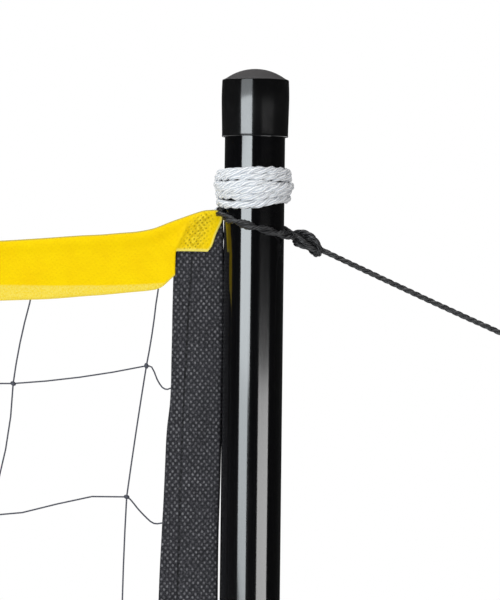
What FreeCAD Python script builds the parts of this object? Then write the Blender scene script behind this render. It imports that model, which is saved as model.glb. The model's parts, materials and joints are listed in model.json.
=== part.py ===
# Volleyball net on two telescopic poles, with its tapes, lashings and guy ropes, in millimetres.
# The net lies in the plane y = 0 and runs along X, and Z is up. The origin is on the ground midway between
# the poles. The right pole and its ropes are drawn, and the left ones are their mirror images.
import FreeCAD
import Part
import math
import os

# Net: square mesh between four sewn tapes
mesh_pitch = 100.0
mesh_columns = 48
mesh_rows = 5
first_row_showing = 62.0
twine = 1.3
tape_layer = 0.8
top_tape_width = 48.0
bottom_tape_width = 50.0
side_tape_width = 45.0
edge_margin = 50.0
net_top = 2240.0

# Ropes: the white head rope, the black foot rope and the black guy rope
head_rope = 7.0
foot_rope = 4.5
guy_rope = 4.5
rope_sides = 4
rope_clearance = 0.3
turn_gap = 0.45

# Poles: an upper tube that slides in a lower tube, with a thin bush between them
upper_tube_od = 45.0
tube_wall = 1.2
bush_wall = 1.4
slide_clearance = 0.3
pole_gap = 1.8
lower_tube_top = 1300.0
tube_overlap = 340.0
tube_top_above_net = 112.5

# Pole cap: a push fit over the upper tube
cap_wall = 2.4
cap_skirt = 35.0
cap_crown = 7.4
cap_dome = 8.5

# Guide bush round the foot of the upper tube
bush_length = 60.0

# Rubber foot of the lower tube
foot_spread = 19.6
foot_flange = 8.0
foot_floor = 10.0
foot_height = 62.0
foot_wall = 6.0

# Clamp collar, its pad, screw and wing knob
collar_wall = 6.0
collar_socket = 30.0
collar_grip = 32.0
boss_width = 24.0
boss_corner = 5.0
boss_stand_out = 13.6
pad_width = 14.0
pad_thickness = 5.0
pad_corner = 1.5
pad_travel = 3.0
pad_clearance = 0.3
screw_radius = 4.0
screw_clearance = 0.2
wing_span = 50.0
wing_thickness = 14.0
wing_end_radius = 8.0
wing_hub_width = 22.0
wing_hub_flat = 8.0
knob_standoff = 0.5
head_flats = 13.0
head_depth = 6.0

# Corner of the net: distance from the pole's axis, and the rise of the tape's top edge there
corner_stations = [(200.0, 0.0), (108.0, 5.0), (76.0, 9.5), (61.0, 14.0), (48.0, 19.4), (28.5, 22.8)]
overlap_height = 30.0
rope_exit = 40.0
rope_exit_bottom = 40.0

# Lashings of the head rope and the foot rope round the pole
lashing_turns = 3.75
lashing_height = 28.4
lashing_start = 165.0
winding_step = 180.0
lead_straight = 3.0
tie_turns = 0.8
tie_drop = 10.0

# Guy rope: a double turn round the pole, a knot, the taut stretch and its end loop
hitch_turns = 2
hitch_middle = 9.2
hitch_tilt = 6.2
hitch_turn_gap = 0.7
hitch_leave = 40.0
knot_out = 31.5
knot_rise = 2.5
guy_slope = 24.0
knot_radius = 8.8
knot_length = 22.0
knot_end_radius = 4.5
bead_sides = 8
guy_length = 195.0
eye_radius = 17.0
eye_neck = 26.0
eye_knot_radius = 7.0
eye_knot_length = 14.0

net_length = mesh_columns * mesh_pitch + 2 * edge_margin
visible_mesh = first_row_showing + (mesh_rows - 1) * mesh_pitch
net_bottom = net_top - top_tape_width - visible_mesh - bottom_tape_width
pole_x = net_length / 2 + pole_gap + upper_tube_od / 2
pole_radius = upper_tube_od / 2
bush_radius = pole_radius + bush_wall
lower_bore = bush_radius + slide_clearance
lower_radius = lower_bore + tube_wall
upper_tube_bottom = lower_tube_top - tube_overlap
upper_tube_top = net_top + tube_top_above_net
collar_radius = lower_radius + collar_wall
collar_bore = pole_radius + slide_clearance
collar_bottom = lower_tube_top - collar_socket
boss_reach = collar_radius + boss_stand_out
clamp_height = lower_tube_top + collar_grip / 2
twine_half = twine / 2
fold_radius = head_rope / 2 + rope_clearance
foot_fold_radius = foot_rope / 2 + rope_clearance


def point(x, y, z):
    return FreeCAD.Vector(x, y, z)


def save(name, *shapes):
    shape = shapes[0] if len(shapes) == 1 else Part.makeCompound(list(shapes))
    shape.exportStep(os.path.join("parts", name + ".step"))


def mirrored(shape):
    return shape.mirror(point(0, 0, 0), point(1, 0, 0))


def save_pair(name, shape):
    """Write the right-hand piece and its mirror image as two nodes."""
    save(name + "_right", shape)
    save(name + "_left", mirrored(shape))


def save_both(name, shape):
    """Write the right-hand piece and its mirror image as the two solids of one node."""
    save(name, shape, mirrored(shape))


def turned(points, base):
    """The solid of revolution of an outline of (radius, height) points about an upright axis at base."""
    wire = Part.makePolygon([point(base.x + r, base.y, base.z + z) for r, z in points + points[:1]])
    return Part.Face(wire).revolve(base, point(0, 0, 1), 360)


def bent(start, corner, end):
    """The arc from start to end whose end tangents meet at corner, or a line where they don't turn."""
    weight = (end - start).Length / (2 * (corner - start).Length)
    if weight > 1 - 1e-9:
        return Part.LineSegment(start, end).toShape()
    middle = (start + corner * (2 * weight) + end) * (1 / (2 + 2 * weight))
    return Part.Arc(start, middle, end).toShape()


def biarc(start, start_way, end, end_way):
    """Two arcs that leave start along start_way, and reach end along end_way."""
    chord = end - start
    spread = 2 - 2 * start_way.dot(end_way)
    along = chord.dot(start_way + end_way)
    if spread < 1e-9:
        reach = chord.dot(chord) / (2 * along)
    else:
        reach = (math.sqrt(along * along + spread * chord.dot(chord)) - along) / spread
    first = start + start_way * reach
    last = end - end_way * reach
    middle = (first + last) * 0.5
    return [bent(start, first, middle), bent(middle, last, end)]


def through(stops):
    """The edges through (place, way) stops, each pair joined by a biarc."""
    edges = []
    for (start, start_way), (end, end_way) in zip(stops, stops[1:]):
        edges += biarc(start, start_way, end, end_way)
    return edges


def straight(place, way, length):
    """A straight run along way, as its edge and its far end."""
    end = place + way * length
    return Part.LineSegment(place, end).toShape(), end


def ring_of(place, way, radius, sides):
    """A closed polygon of so many sides round place, square to way."""
    across = way.cross(point(0, 0, 1)).normalize()
    other = way.cross(across)
    corners = []
    for side in range(sides):
        angle = 2 * math.pi * (side + 0.5) / sides
        corners.append(place + (across * math.cos(angle) + other * math.sin(angle)) * radius)
    return Part.makePolygon(corners + corners[:1])


def rope(edges, diameter, sides, start, way):
    """A rope along joined edges, with its first face square to way."""
    return Part.Wire(edges).makePipeShell([ring_of(start, way, diameter / 2, sides)], True, False)


def bead(start, way, outline):
    """A knot's outer shape along way, through (distance, radius) rings."""
    rings = [ring_of(start + way * distance, way, radius, bead_sides) for distance, radius in outline]
    return Part.makeLoft(rings, True, True)


def turns(place, first, last, step):
    """Stops at every step of angle along a winding, where place gives the point at an angle in degrees."""
    count = max(1, round(abs(last - first) / step))
    stops = []
    for index in range(count + 1):
        angle = first + (last - first) * index / count
        nudge = math.copysign(0.01, last - first)
        way = (place(angle + nudge) - place(angle - nudge)).normalize()
        stops.append((place(angle), way))
    return stops


def least_gap(name, place, first, last, diameter):
    """Print the least gap between parts of a winding that lie over half a turn apart."""
    angles = [first + (last - first) * index / 400 for index in range(401)]
    points = [place(angle) for angle in angles]
    gap = min(
        (points[i] - points[j]).Length
        for i in range(len(points))
        for j in range(i + 1, len(points))
        if abs(angles[j] - angles[i]) > 180
    )
    print(f"{name}: least gap to itself {gap - diameter:.2f} mm")


def net_mesh():
    """One flat net with a hole for each gap, whose edges lie between the layers of the tapes."""
    half = net_length / 2 - tape_layer
    top = net_top - tape_layer - 2 * fold_radius
    bottom = net_bottom + tape_layer + 2 * foot_fold_radius
    outline = Part.makePolygon([
        point(-half, -twine_half, bottom), point(half, -twine_half, bottom),
        point(half, -twine_half, top), point(-half, -twine_half, top), point(-half, -twine_half, bottom),
    ])
    inner_edge = net_length / 2 - side_tape_width
    first_line = -net_length / 2 + edge_margin
    columns = [first_line + mesh_pitch * index for index in range(mesh_columns + 1)]
    columns[0] = -inner_edge - twine_half
    columns[-1] = inner_edge + twine_half
    tape_edge = net_top - top_tape_width
    rows = [tape_edge - first_row_showing - mesh_pitch * index for index in range(mesh_rows)]
    rows = [tape_edge + twine_half] + rows
    rows[-1] = net_bottom + bottom_tape_width - twine_half
    holes = []
    for left, right in zip(columns, columns[1:]):
        for upper, lower in zip(rows, rows[1:]):
            corners = [
                point(left + twine_half, -twine_half, lower + twine_half),
                point(left + twine_half, -twine_half, upper - twine_half),
                point(right - twine_half, -twine_half, upper - twine_half),
                point(right - twine_half, -twine_half, lower + twine_half),
            ]
            holes.append(Part.makePolygon(corners + corners[:1]))
    face = Part.Face([outline] + holes)
    return face.extrude(point(0, twine, 0))


def fold_section(x, edge, width, radius, down):
    """The section of a tape folded over a rope: a round fold, and two layers that close on the net.

    edge is the height of the fold's outermost line, and down is 1 for a fold on top and -1 for one below."""
    outer = radius + tape_layer
    centre = edge - down * outer
    shoulder = centre - down * 3 * outer
    hem = edge - down * width

    def side_of(reach, layer):
        slant = reach * math.sqrt(0.5)
        return [(0, centre + down * reach), (slant, centre + down * slant), (reach, centre),
                (layer, shoulder), (layer, hem)]

    outside = side_of(outer, twine_half + tape_layer)
    inside = side_of(radius, twine_half)
    half = outside + inside[::-1]
    other_half = [(-y, z) for y, z in inside[1:] + outside[:0:-1]]
    corners = [point(x, y, z) for y, z in half + other_half]
    return Part.makePolygon(corners + corners[:1])


def stations():
    """Places along the whole top edge, from the left corner to the right one, with their rise."""
    right = [(pole_x - distance, rise) for distance, rise in corner_stations]
    return [(-x, rise) for x, rise in reversed(right)] + right


def end_box(inner, outer, front, back, bottom, top):
    """A box near the right pole, from its distances to the pole's axis."""
    corner = point(pole_x - inner, front, bottom)
    return Part.makeBox(inner - outer, back - front, top - bottom, corner)


def both_ends(box):
    return box.fuse(mirrored(box))


def top_tape():
    sections = [
        fold_section(x, net_top + rise, top_tape_width, fold_radius, 1) for x, rise in stations()
    ]
    band = Part.makeLoft(sections, True, True)
    side_edge = pole_x - net_length / 2 + side_tape_width
    overlap = net_top + corner_stations[-1][1] - overlap_height
    deep = 2 * head_rope
    below = end_box(side_edge, 0, -deep, deep, net_top - 2 * top_tape_width, overlap)
    rope_height = head_rope_height(rise_at(rope_exit))
    behind = end_box(rope_exit, 0, 0, deep, net_top - top_tape_width, rope_height)
    above = end_box(rope_exit, 0, -fold_radius, deep, rope_height, net_top + top_tape_width)
    return band.cut(both_ends(below)).cut(both_ends(behind.fuse(above)))


def bottom_tape():
    half = net_length / 2
    section = fold_section(-half, net_bottom, bottom_tape_width, foot_fold_radius, -1)
    band = Part.Face(section).extrude(point(2 * half, 0, 0))
    deep = 2 * foot_rope
    fold_top = net_bottom + 4 * (foot_fold_radius + tape_layer)
    return band.cut(both_ends(end_box(rope_exit_bottom, 0, -deep, deep, net_bottom - deep, fold_top)))


def side_tape():
    """A tape folded round the net's side edge, from the bottom tape up to the top tape's end."""
    outer = net_length / 2
    layer = twine_half + tape_layer
    top = net_top + corner_stations[-1][1] - overlap_height
    bottom = net_bottom + bottom_tape_width
    inner = outer - side_tape_width
    band = Part.makeBox(side_tape_width, 2 * layer, top - bottom, point(inner, -layer, bottom))
    slot_depth = side_tape_width - tape_layer
    slot = Part.makeBox(slot_depth, twine, top - bottom, point(inner, -twine_half, bottom))
    return band.cut(slot)


def head_rope_height(rise):
    return net_top + rise - tape_layer - fold_radius


def rise_at(distance):
    """The rise of the top edge at a distance from the pole's axis."""
    for (far, low), (near, high) in zip(corner_stations, corner_stations[1:]):
        if near <= distance <= far:
            return low + (high - low) * (far - distance) / (far - near)
    return 0.0


def head_rope_in_tape():
    right = [(pole_x - far, rise) for far, rise in corner_stations if far > rope_exit]
    right.append((pole_x - rope_exit, rise_at(rope_exit)))
    places = [(-x, rise) for x, rise in reversed(right)] + right
    along = point(1, 0, 0)
    rings = [
        ring_of(point(x, 0, head_rope_height(rise)), along, head_rope / 2, rope_sides)
        for x, rise in places
    ]
    return Part.makeLoft(rings, True, True)


def foot_rope_height():
    return net_bottom + tape_layer + foot_fold_radius


def foot_rope_in_tape():
    half = pole_x - rope_exit_bottom
    ring = ring_of(point(-half, 0, foot_rope_height()), point(1, 0, 0), foot_rope / 2, rope_sides)
    return Part.Face(ring).extrude(point(2 * half, 0, 0))


def wound_end(name, diameter, sides, turn_count, start, first_turn, climb):
    """A rope's end: it leaves its tape at start, passes behind the pole and winds up or down it.

    first_turn is the height of the winding's start, and climb is 1 for up and -1 for down."""
    radius = pole_radius + rope_clearance + diameter / 2
    pitch = diameter + turn_gap + 0.02

    def place(angle):
        turned_by = lashing_start - angle
        return point(
            pole_x + radius * math.cos(math.radians(angle)),
            radius * math.sin(math.radians(angle)),
            first_turn + climb * pitch * turned_by / 360,
        )

    last = lashing_start - 360 * turn_count
    stops = turns(place, lashing_start, last, winding_step)
    way = point(1, 0, 0)
    first_run, bend = straight(start, way, lead_straight)
    end, end_way = stops[-1]
    last_run, free_end = straight(end, end_way, diameter)
    edges = [first_run] + through([(bend, way)] + stops) + [last_run]
    least_gap(name, place, lashing_start, last, diameter)
    return rope(edges, diameter, sides, start, way)


def lashing():
    start = point(pole_x - rope_exit, 0, head_rope_height(rise_at(rope_exit)))
    first_turn = net_top + lashing_height
    return wound_end("head rope lashing", head_rope, rope_sides, lashing_turns, start, first_turn, 1)


def bottom_tie():
    start = point(pole_x - rope_exit_bottom, 0, foot_rope_height())
    first_turn = net_bottom - tie_drop
    return wound_end("foot rope tie", foot_rope, rope_sides, tie_turns, start, first_turn, -1)


def guy_way():
    slope = math.radians(guy_slope)
    return point(math.cos(slope), 0, -math.sin(slope))


def guy_side():
    """Square to the guy rope, in its upright plane, pointing down."""
    slope = math.radians(guy_slope)
    return point(-math.sin(slope), 0, -math.cos(slope))


def guy_start():
    return point(pole_x + knot_out, 0, net_top + knot_rise)


def guy_hitch():
    """Two turns of the guy rope round the pole, high beside the net and low at the knot."""
    radius = pole_radius + rope_clearance + guy_rope / 2
    pitch = guy_rope + hitch_turn_gap

    def place(angle):
        return point(
            pole_x + radius * math.cos(math.radians(angle)),
            radius * math.sin(math.radians(angle)),
            net_top + hitch_middle - hitch_tilt * math.cos(math.radians(angle)) - pitch * (1 + angle / 360),
        )

    first = -hitch_leave
    last = -360 * hitch_turns + hitch_leave
    stops = turns(place, first, last, winding_step)
    start = guy_start()
    way = guy_way()
    beside = start - guy_side() * pitch
    edges = through([(start, way * -1)] + stops + [(beside, way)])
    least_gap("guy rope hitch", place, first, last, guy_rope)
    return rope(edges, guy_rope, rope_sides, start, way * -1)


def guy_knot():
    """The knot beside the pole, where both turns end and the taut rope leaves."""
    full = knot_radius - turn_gap * 2
    outline = [(0, full), (knot_length / 3, knot_radius), (knot_length, knot_end_radius)]
    return bead(guy_start(), guy_way(), outline)


def guy_rope_start():
    return guy_start() + guy_way() * knot_length


def guy_rope_run():
    start = guy_rope_start()
    edge, end = straight(start, guy_way(), guy_length)
    solid = rope([edge], guy_rope, rope_sides, start, guy_way())
    section = rope_sides / 2 * (guy_rope / 2) ** 2 * math.sin(2 * math.pi / rope_sides)
    print(f"guy rope: volume {solid.Volume:.1f}, section by length {section * guy_length:.1f} mm3, no bends")
    return solid


def eye_start():
    return guy_rope_start() + guy_way() * (guy_length + eye_knot_length)


def eye_knot():
    """The knot that closes the end loop."""
    full = eye_knot_radius - turn_gap
    outline = [(0, knot_end_radius), (eye_knot_length / 2, eye_knot_radius), (eye_knot_length, full)]
    return bead(guy_rope_start() + guy_way() * guy_length, guy_way(), outline)


def guy_eye():
    """The end loop: out from its knot, round, and back into it."""
    way = guy_way()
    side = guy_side()
    apart = (guy_rope + turn_gap) / 2
    start = eye_start() - side * apart
    finish = eye_start() + side * apart
    centre = eye_start() + way * eye_neck
    stops = [
        (start, way), (centre - side * eye_radius, way), (centre + way * eye_radius, side),
        (centre + side * eye_radius, way * -1), (finish, way * -1),
    ]
    edges = through(stops)
    bends = [edge.Curve.Radius for edge in edges if hasattr(edge.Curve, "Radius")]
    print("guy rope loop: radii " + ", ".join(f"{bend:.1f}" for bend in bends) + " mm")
    return rope(edges, guy_rope, rope_sides, start, way)


def tube(outer, wall, bottom, top):
    base = point(pole_x, 0, bottom)
    return turned([(outer - wall, 0), (outer, 0), (outer, top - bottom), (outer - wall, top - bottom)], base)


def pole_cap():
    """A cap with a low dome, closed over the tube's end."""
    outer = pole_radius + cap_wall
    rim = upper_tube_top - cap_skirt
    shoulder = upper_tube_top + cap_crown

    def at(r, z):
        return point(pole_x + r, 0, z)

    crown_radius = (outer * outer + cap_dome * cap_dome) / (2 * cap_dome)
    half_angle = math.asin(outer / crown_radius) / 2
    dome_middle = at(
        crown_radius * math.sin(half_angle),
        shoulder + cap_dome - crown_radius * (1 - math.cos(half_angle)),
    )
    edges = [
        Part.LineSegment(at(pole_radius, rim), at(outer, rim)).toShape(),
        Part.LineSegment(at(outer, rim), at(outer, shoulder)).toShape(),
        Part.Arc(at(outer, shoulder), dome_middle, at(0, shoulder + cap_dome)).toShape(),
        Part.LineSegment(at(0, shoulder + cap_dome), at(0, upper_tube_top)).toShape(),
        Part.LineSegment(at(0, upper_tube_top), at(pole_radius, upper_tube_top)).toShape(),
        Part.LineSegment(at(pole_radius, upper_tube_top), at(pole_radius, rim)).toShape(),
    ]
    return Part.Face(Part.Wire(edges)).revolve(point(pole_x, 0, 0), point(0, 0, 1), 360)


def guide_bush():
    """A sleeve round the upper tube's foot that slides in the lower tube."""
    base = point(pole_x, 0, upper_tube_bottom)
    outline = [(pole_radius, 0), (bush_radius, 0), (bush_radius, bush_length), (pole_radius, bush_length)]
    return turned(outline, base)


def foot():
    """A rubber foot with a wide flange, closed below, that grips the lower tube."""
    hub = lower_radius + foot_wall
    edge = lower_radius + foot_spread
    outline = [
        (0, 0), (edge, 0), (edge, foot_flange), (hub, 2 * foot_flange),
        (hub, foot_height), (lower_radius, foot_height), (lower_radius, foot_floor), (0, foot_floor),
    ]
    return turned(outline, point(pole_x, 0, 0))


def radial_block(width, corner, start, end):
    """A square bar with cut corners on the clamp's axis, between two distances from the pole's axis."""
    half = width / 2
    flat = half - corner
    outline = [
        (half, -flat), (half, flat), (flat, half), (-flat, half),
        (-half, flat), (-half, -flat), (-flat, -half), (flat, -half),
    ]
    corners = [point(pole_x + start, y, clamp_height + z) for y, z in outline]
    return Part.Face(Part.makePolygon(corners + corners[:1])).extrude(point(end - start, 0, 0))


def radial_rod(radius, start, end):
    """A rod on the clamp's axis, between two distances from the pole's axis."""
    return Part.makeCylinder(radius, end - start, point(pole_x + start, 0, clamp_height), point(1, 0, 0))


def clamp_collar():
    """A collar on the lower tube's top that guides the upper tube and holds the clamp screw."""
    height = collar_socket + collar_grip
    outline = [
        (lower_radius, 0), (collar_radius, 0), (collar_radius, height),
        (collar_bore, height), (collar_bore, collar_socket), (lower_radius, collar_socket),
    ]
    ring = turned(outline, point(pole_x, 0, collar_bottom))
    boss = radial_block(boss_width, boss_corner, collar_bore - 1, boss_reach)
    boss = boss.cut(Part.makeCylinder(collar_bore, 2 * collar_grip, point(pole_x, 0, lower_tube_top)))
    pocket_end = collar_bore + pad_thickness + pad_travel + pad_clearance
    pocket = radial_block(pad_width + 2 * pad_clearance, pad_corner, 0, pocket_end)
    thread = radial_rod(screw_radius + screw_clearance, 0, boss_reach + 1)
    return ring.fuse(boss).cut(pocket).cut(thread).removeSplitter()


def clamp_pad():
    """The keyed pad between the screw and the upper tube."""
    return radial_block(pad_width, pad_corner, collar_bore, collar_bore + pad_thickness)


def knob_start():
    return boss_reach + knob_standoff


def screw_head():
    """The six-sided head that the knob is moulded round."""
    centre = point(pole_x + knob_start(), 0, clamp_height)
    ring = ring_of(centre, point(1, 0, 0), head_flats / math.sqrt(3), 6)
    return Part.Face(ring).extrude(point(head_depth, 0, 0))


def clamp_screw():
    return radial_rod(screw_radius, collar_bore + pad_thickness, knob_start()).fuse(screw_head())


def clamp_knob():
    """A wing knob moulded round the screw's head."""
    start = knob_start()
    reach = wing_span / 2 - wing_end_radius
    flat = wing_hub_flat / 2
    hub = wing_hub_width / 2

    def at(y, z):
        return point(pole_x + start, y, clamp_height + z)

    def wing(way):
        end = way * wing_end_radius
        tip = Part.Arc(at(way * reach, -end), at(way * wing_span / 2, 0), at(way * reach, end))
        slope = Part.LineSegment(at(way * reach, end), at(way * flat, way * hub))
        across = Part.LineSegment(at(way * flat, way * hub), at(-way * flat, way * hub))
        back = Part.LineSegment(at(-way * flat, way * hub), at(-way * reach, end))
        return [run.toShape() for run in (tip, slope, across, back)]

    outline = Part.Wire(wing(1) + wing(-1))
    body = Part.Face(outline).extrude(point(wing_thickness, 0, 0))
    return body.cut(screw_head())


os.makedirs("parts", exist_ok=True)

save("net_mesh", net_mesh())
save("top_tape", top_tape())
save("bottom_tape", bottom_tape())
save_pair("side_tape", side_tape())
save("head_rope", head_rope_in_tape())
save("foot_rope", foot_rope_in_tape())
save_both("lashings", lashing())
save_both("bottom_ties", bottom_tie())
save_both("guy_hitches", guy_hitch())
save_both("guy_knots", guy_knot())
save_pair("guy_rope", guy_rope_run())
save_both("guy_eyes", guy_eye())
save_both("eye_knots", eye_knot())

save_pair("upper_tube", tube(pole_radius, tube_wall, upper_tube_bottom, upper_tube_top))
save_pair("lower_tube", tube(lower_radius, tube_wall, foot_floor, lower_tube_top))
save_both("pole_caps", pole_cap())
save_both("guide_bushes", guide_bush())
save_both("feet", foot())
save_both("clamp_collars", clamp_collar())
save_pair("clamp_pad", clamp_pad())
save_pair("clamp_screw", clamp_screw())
save_pair("clamp_knob", clamp_knob())
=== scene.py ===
import json
import math

import bmesh
import bpy
from bpy.props import FloatProperty, FloatVectorProperty, IntProperty, PointerProperty
from bpy.types import Operator, Panel, PropertyGroup
from mathutils import Matrix, Vector, noise

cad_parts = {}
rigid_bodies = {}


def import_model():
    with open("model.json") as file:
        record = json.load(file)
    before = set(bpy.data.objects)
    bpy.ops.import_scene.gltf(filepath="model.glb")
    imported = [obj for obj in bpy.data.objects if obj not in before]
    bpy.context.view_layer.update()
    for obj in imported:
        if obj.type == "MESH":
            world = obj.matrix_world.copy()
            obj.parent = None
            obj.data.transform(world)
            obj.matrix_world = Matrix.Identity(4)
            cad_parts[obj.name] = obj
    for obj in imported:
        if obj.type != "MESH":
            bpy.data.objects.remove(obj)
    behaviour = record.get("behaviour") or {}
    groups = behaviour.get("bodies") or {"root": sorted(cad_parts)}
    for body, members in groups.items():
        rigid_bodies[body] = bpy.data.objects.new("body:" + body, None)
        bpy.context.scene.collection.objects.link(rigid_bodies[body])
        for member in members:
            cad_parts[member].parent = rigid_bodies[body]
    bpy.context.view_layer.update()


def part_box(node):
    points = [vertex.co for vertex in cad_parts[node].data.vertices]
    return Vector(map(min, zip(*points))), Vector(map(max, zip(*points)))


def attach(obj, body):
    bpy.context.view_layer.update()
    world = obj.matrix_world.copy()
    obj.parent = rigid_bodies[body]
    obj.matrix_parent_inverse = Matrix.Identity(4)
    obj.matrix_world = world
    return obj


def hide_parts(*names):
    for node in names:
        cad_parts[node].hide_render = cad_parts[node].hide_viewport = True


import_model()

bl_info = {
    "name": "Volleyball net on poles",
    "version": (1, 0, 0),
    "blender": (4, 5, 0),
    "location": "View3D > Sidebar > Net",
    "description": "Builds a roped volleyball net with its tapes, two telescopic poles and a pale studio",
    "category": "Add Mesh",
}

MOVING = "net_and_upper_poles"
STANDING = "lower_poles"
SIDES = (("right", 1), ("left", -1))
NOISE_SEED = 11

# Sizes of the set in metres

upper_low, upper_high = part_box("upper_tube_right")
lower_low, lower_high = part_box("lower_tube_right")
screw_low, screw_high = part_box("clamp_screw_right")

POLE_X = (upper_low.x + upper_high.x) / 2
POLE_RADIUS = (upper_high.x - upper_low.x) / 2
LOWER_RADIUS = (lower_high.x - lower_low.x) / 2
CLAMP_HEIGHT = (screw_low.z + screw_high.z) / 2
TUBE_WALL = 0.0012

# Distance of the net's middle from a pole's axis, and height of its foot, in millimetres

MIDDLE = POLE_X * 1000
NET_BOTTOM = 1680.0


class RopeSettings(PropertyGroup):
    head_rope: FloatProperty(
        name="Head rope", description="Thickness of the white head rope", default=0.0066, unit="LENGTH"
    )
    guy_rope: FloatProperty(
        name="Guy rope", description="Thickness of the black guy rope", default=0.0044, unit="LENGTH"
    )
    foot_rope: FloatProperty(
        name="Foot rope", description="Thickness of the rope along the net's foot", default=0.0045,
        unit="LENGTH",
    )
    lay: FloatProperty(
        name="Lay", description="Length of one turn of a strand, in rope thicknesses", default=3.9
    )
    white: FloatVectorProperty(
        name="White fibre", description="Colour of the head rope", subtype="COLOR", size=3,
        default=(0.96, 0.955, 0.955),
    )
    black: FloatVectorProperty(
        name="Black fibre", description="Colour of the guy ropes", subtype="COLOR", size=3,
        default=(0.056, 0.055, 0.058),
    )


class TapeSettings(PropertyGroup):
    thickness: FloatProperty(
        name="Cloth thickness", description="Thickness of one layer of tape", default=0.00045, unit="LENGTH"
    )
    dot_pitch: FloatProperty(
        name="Dot pitch", description="Distance between the pressed dots of the black tapes",
        default=0.00297, unit="LENGTH",
    )
    yellow: FloatVectorProperty(
        name="Top tape", description="Colour of the top tape", subtype="COLOR", size=3,
        default=(0.90, 0.625, 0.0005),
    )
    black: FloatVectorProperty(
        name="Other tapes", description="Colour of the side and bottom tapes", subtype="COLOR", size=3,
        default=(0.016, 0.016, 0.019),
    )


class NetSettings(PropertyGroup):
    pitch: FloatProperty(
        name="Mesh", description="Distance from knot to knot", default=0.1, unit="LENGTH"
    )
    twine: FloatProperty(
        name="Twine", description="Thickness of the twine", default=0.0013, unit="LENGTH"
    )
    columns: IntProperty(name="Columns", description="Gaps along the net", default=48)
    rows: IntProperty(name="Rows", description="Free lines of knots down the net", default=4)
    colour: FloatVectorProperty(
        name="Twine colour", description="Colour of the twine", subtype="COLOR", size=3,
        default=(0.035, 0.037, 0.050),
    )


class PoleSettings(PropertyGroup):
    paint: FloatVectorProperty(
        name="Paint", description="Colour of the painted tubes", subtype="COLOR", size=3,
        default=(0.0018, 0.0018, 0.0022),
    )
    paint_roughness: FloatProperty(
        name="Paint roughness", description="How much the paint blurs a reflection", default=0.12,
        subtype="FACTOR",
    )
    plastic: FloatVectorProperty(
        name="Plastic", description="Colour of the caps' sides", subtype="COLOR", size=3,
        default=(0.003, 0.003, 0.0032),
    )


class StudioSettings(PropertyGroup):
    floor: FloatVectorProperty(
        name="Floor", description="Colour of the floor", subtype="COLOR", size=3, default=(0.82, 0.82, 0.82)
    )
    main_light: FloatProperty(
        name="Main light", description="Power of the large light in front, on the left", default=217.0,
        unit="POWER",
    )
    low_light: FloatProperty(
        name="Low light", description="Power of the low light in front, on the right", default=184.0,
        unit="POWER",
    )
    fill: FloatProperty(name="Fill", description="Strength of the light from all round", default=0.27)


SETTINGS = {
    "net_set_ropes": RopeSettings,
    "net_set_tapes": TapeSettings,
    "net_set_net": NetSettings,
    "net_set_poles": PoleSettings,
    "net_set_studio": StudioSettings,
}


# Materials


def new_material(name, colour, roughness, **inputs):
    """A material's nodes and its shader. Underscores stand for the spaces in the names of further inputs."""
    material = bpy.data.materials.new(name)
    material.use_nodes = True
    shader = material.node_tree.nodes["Principled BSDF"]
    shader.inputs["Base Color"].default_value = (*colour, 1)
    shader.inputs["Roughness"].default_value = roughness
    for socket, value in inputs.items():
        shader.inputs[socket.replace("_", " ")].default_value = value
    return material.node_tree, shader


def add_node(tree, kind, **values):
    node = tree.nodes.new(kind)
    for name, value in values.items():
        if name in node.bl_rna.properties:
            setattr(node, name, value)
        else:
            node.inputs[name.replace("_", " ")].default_value = value
    return node


def feed(tree, node, **sources):
    """Link each source to the node's input of that name."""
    for socket, source in sources.items():
        tree.links.new(source, node.inputs[socket.replace("_", " ")])


def coordinates(tree, kind):
    return add_node(tree, "ShaderNodeTexCoord").outputs[kind]


def marked(tree, name):
    """The factor that a cloth's own attribute holds."""
    return add_node(tree, "ShaderNodeAttribute", attribute_name=name).outputs["Fac"]


def worked(tree, operation, *factors):
    """The result of a sum or a function of factors."""
    node = add_node(tree, "ShaderNodeMath", operation=operation)
    for factor, socket in zip(factors, node.inputs):
        tree.links.new(factor, socket)
    return node.outputs["Value"]


def spread(tree, factor, low, high, low_in=0.0, high_in=1.0):
    """A factor spread to another range."""
    node = add_node(
        tree, "ShaderNodeMapRange", From_Min=low_in, From_Max=high_in, To_Min=low, To_Max=high
    )
    feed(tree, node, Value=factor)
    return node.outputs["Result"]


def mixed(tree, factor, first, second):
    """A colour between two others, each a colour or a socket."""
    node = add_node(tree, "ShaderNodeMix", data_type="RGBA")
    feed(tree, node, Factor=factor)
    sockets = [socket for socket in node.inputs if socket.type == "RGBA"]
    for socket, value in zip(sockets, (first, second)):
        if isinstance(value, bpy.types.NodeSocket):
            tree.links.new(value, socket)
        else:
            socket.default_value = (*value, 1)
    return next(socket for socket in node.outputs if socket.type == "RGBA")


def object_noise(tree, scale, detail, stretch=(1, 1, 1)):
    """Noise on the object's own coordinates, as its factor."""
    mapping = add_node(tree, "ShaderNodeMapping", Scale=stretch)
    grain = add_node(tree, "ShaderNodeTexNoise", Scale=scale, Detail=detail)
    feed(tree, mapping, Vector=coordinates(tree, "Object"))
    feed(tree, grain, Vector=mapping.outputs["Vector"])
    return grain.outputs["Fac"]


def bumped(tree, shader, height, distance, strength):
    node = add_node(tree, "ShaderNodeBump", Strength=strength, Distance=distance)
    feed(tree, node, Height=height)
    feed(tree, shader, Normal=node.outputs["Normal"])


def toned(colour, share, more=0.0):
    """A darker or paler colour, with each part multiplied by a share."""
    return [min(1, part * share + more) for part in colour]


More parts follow.
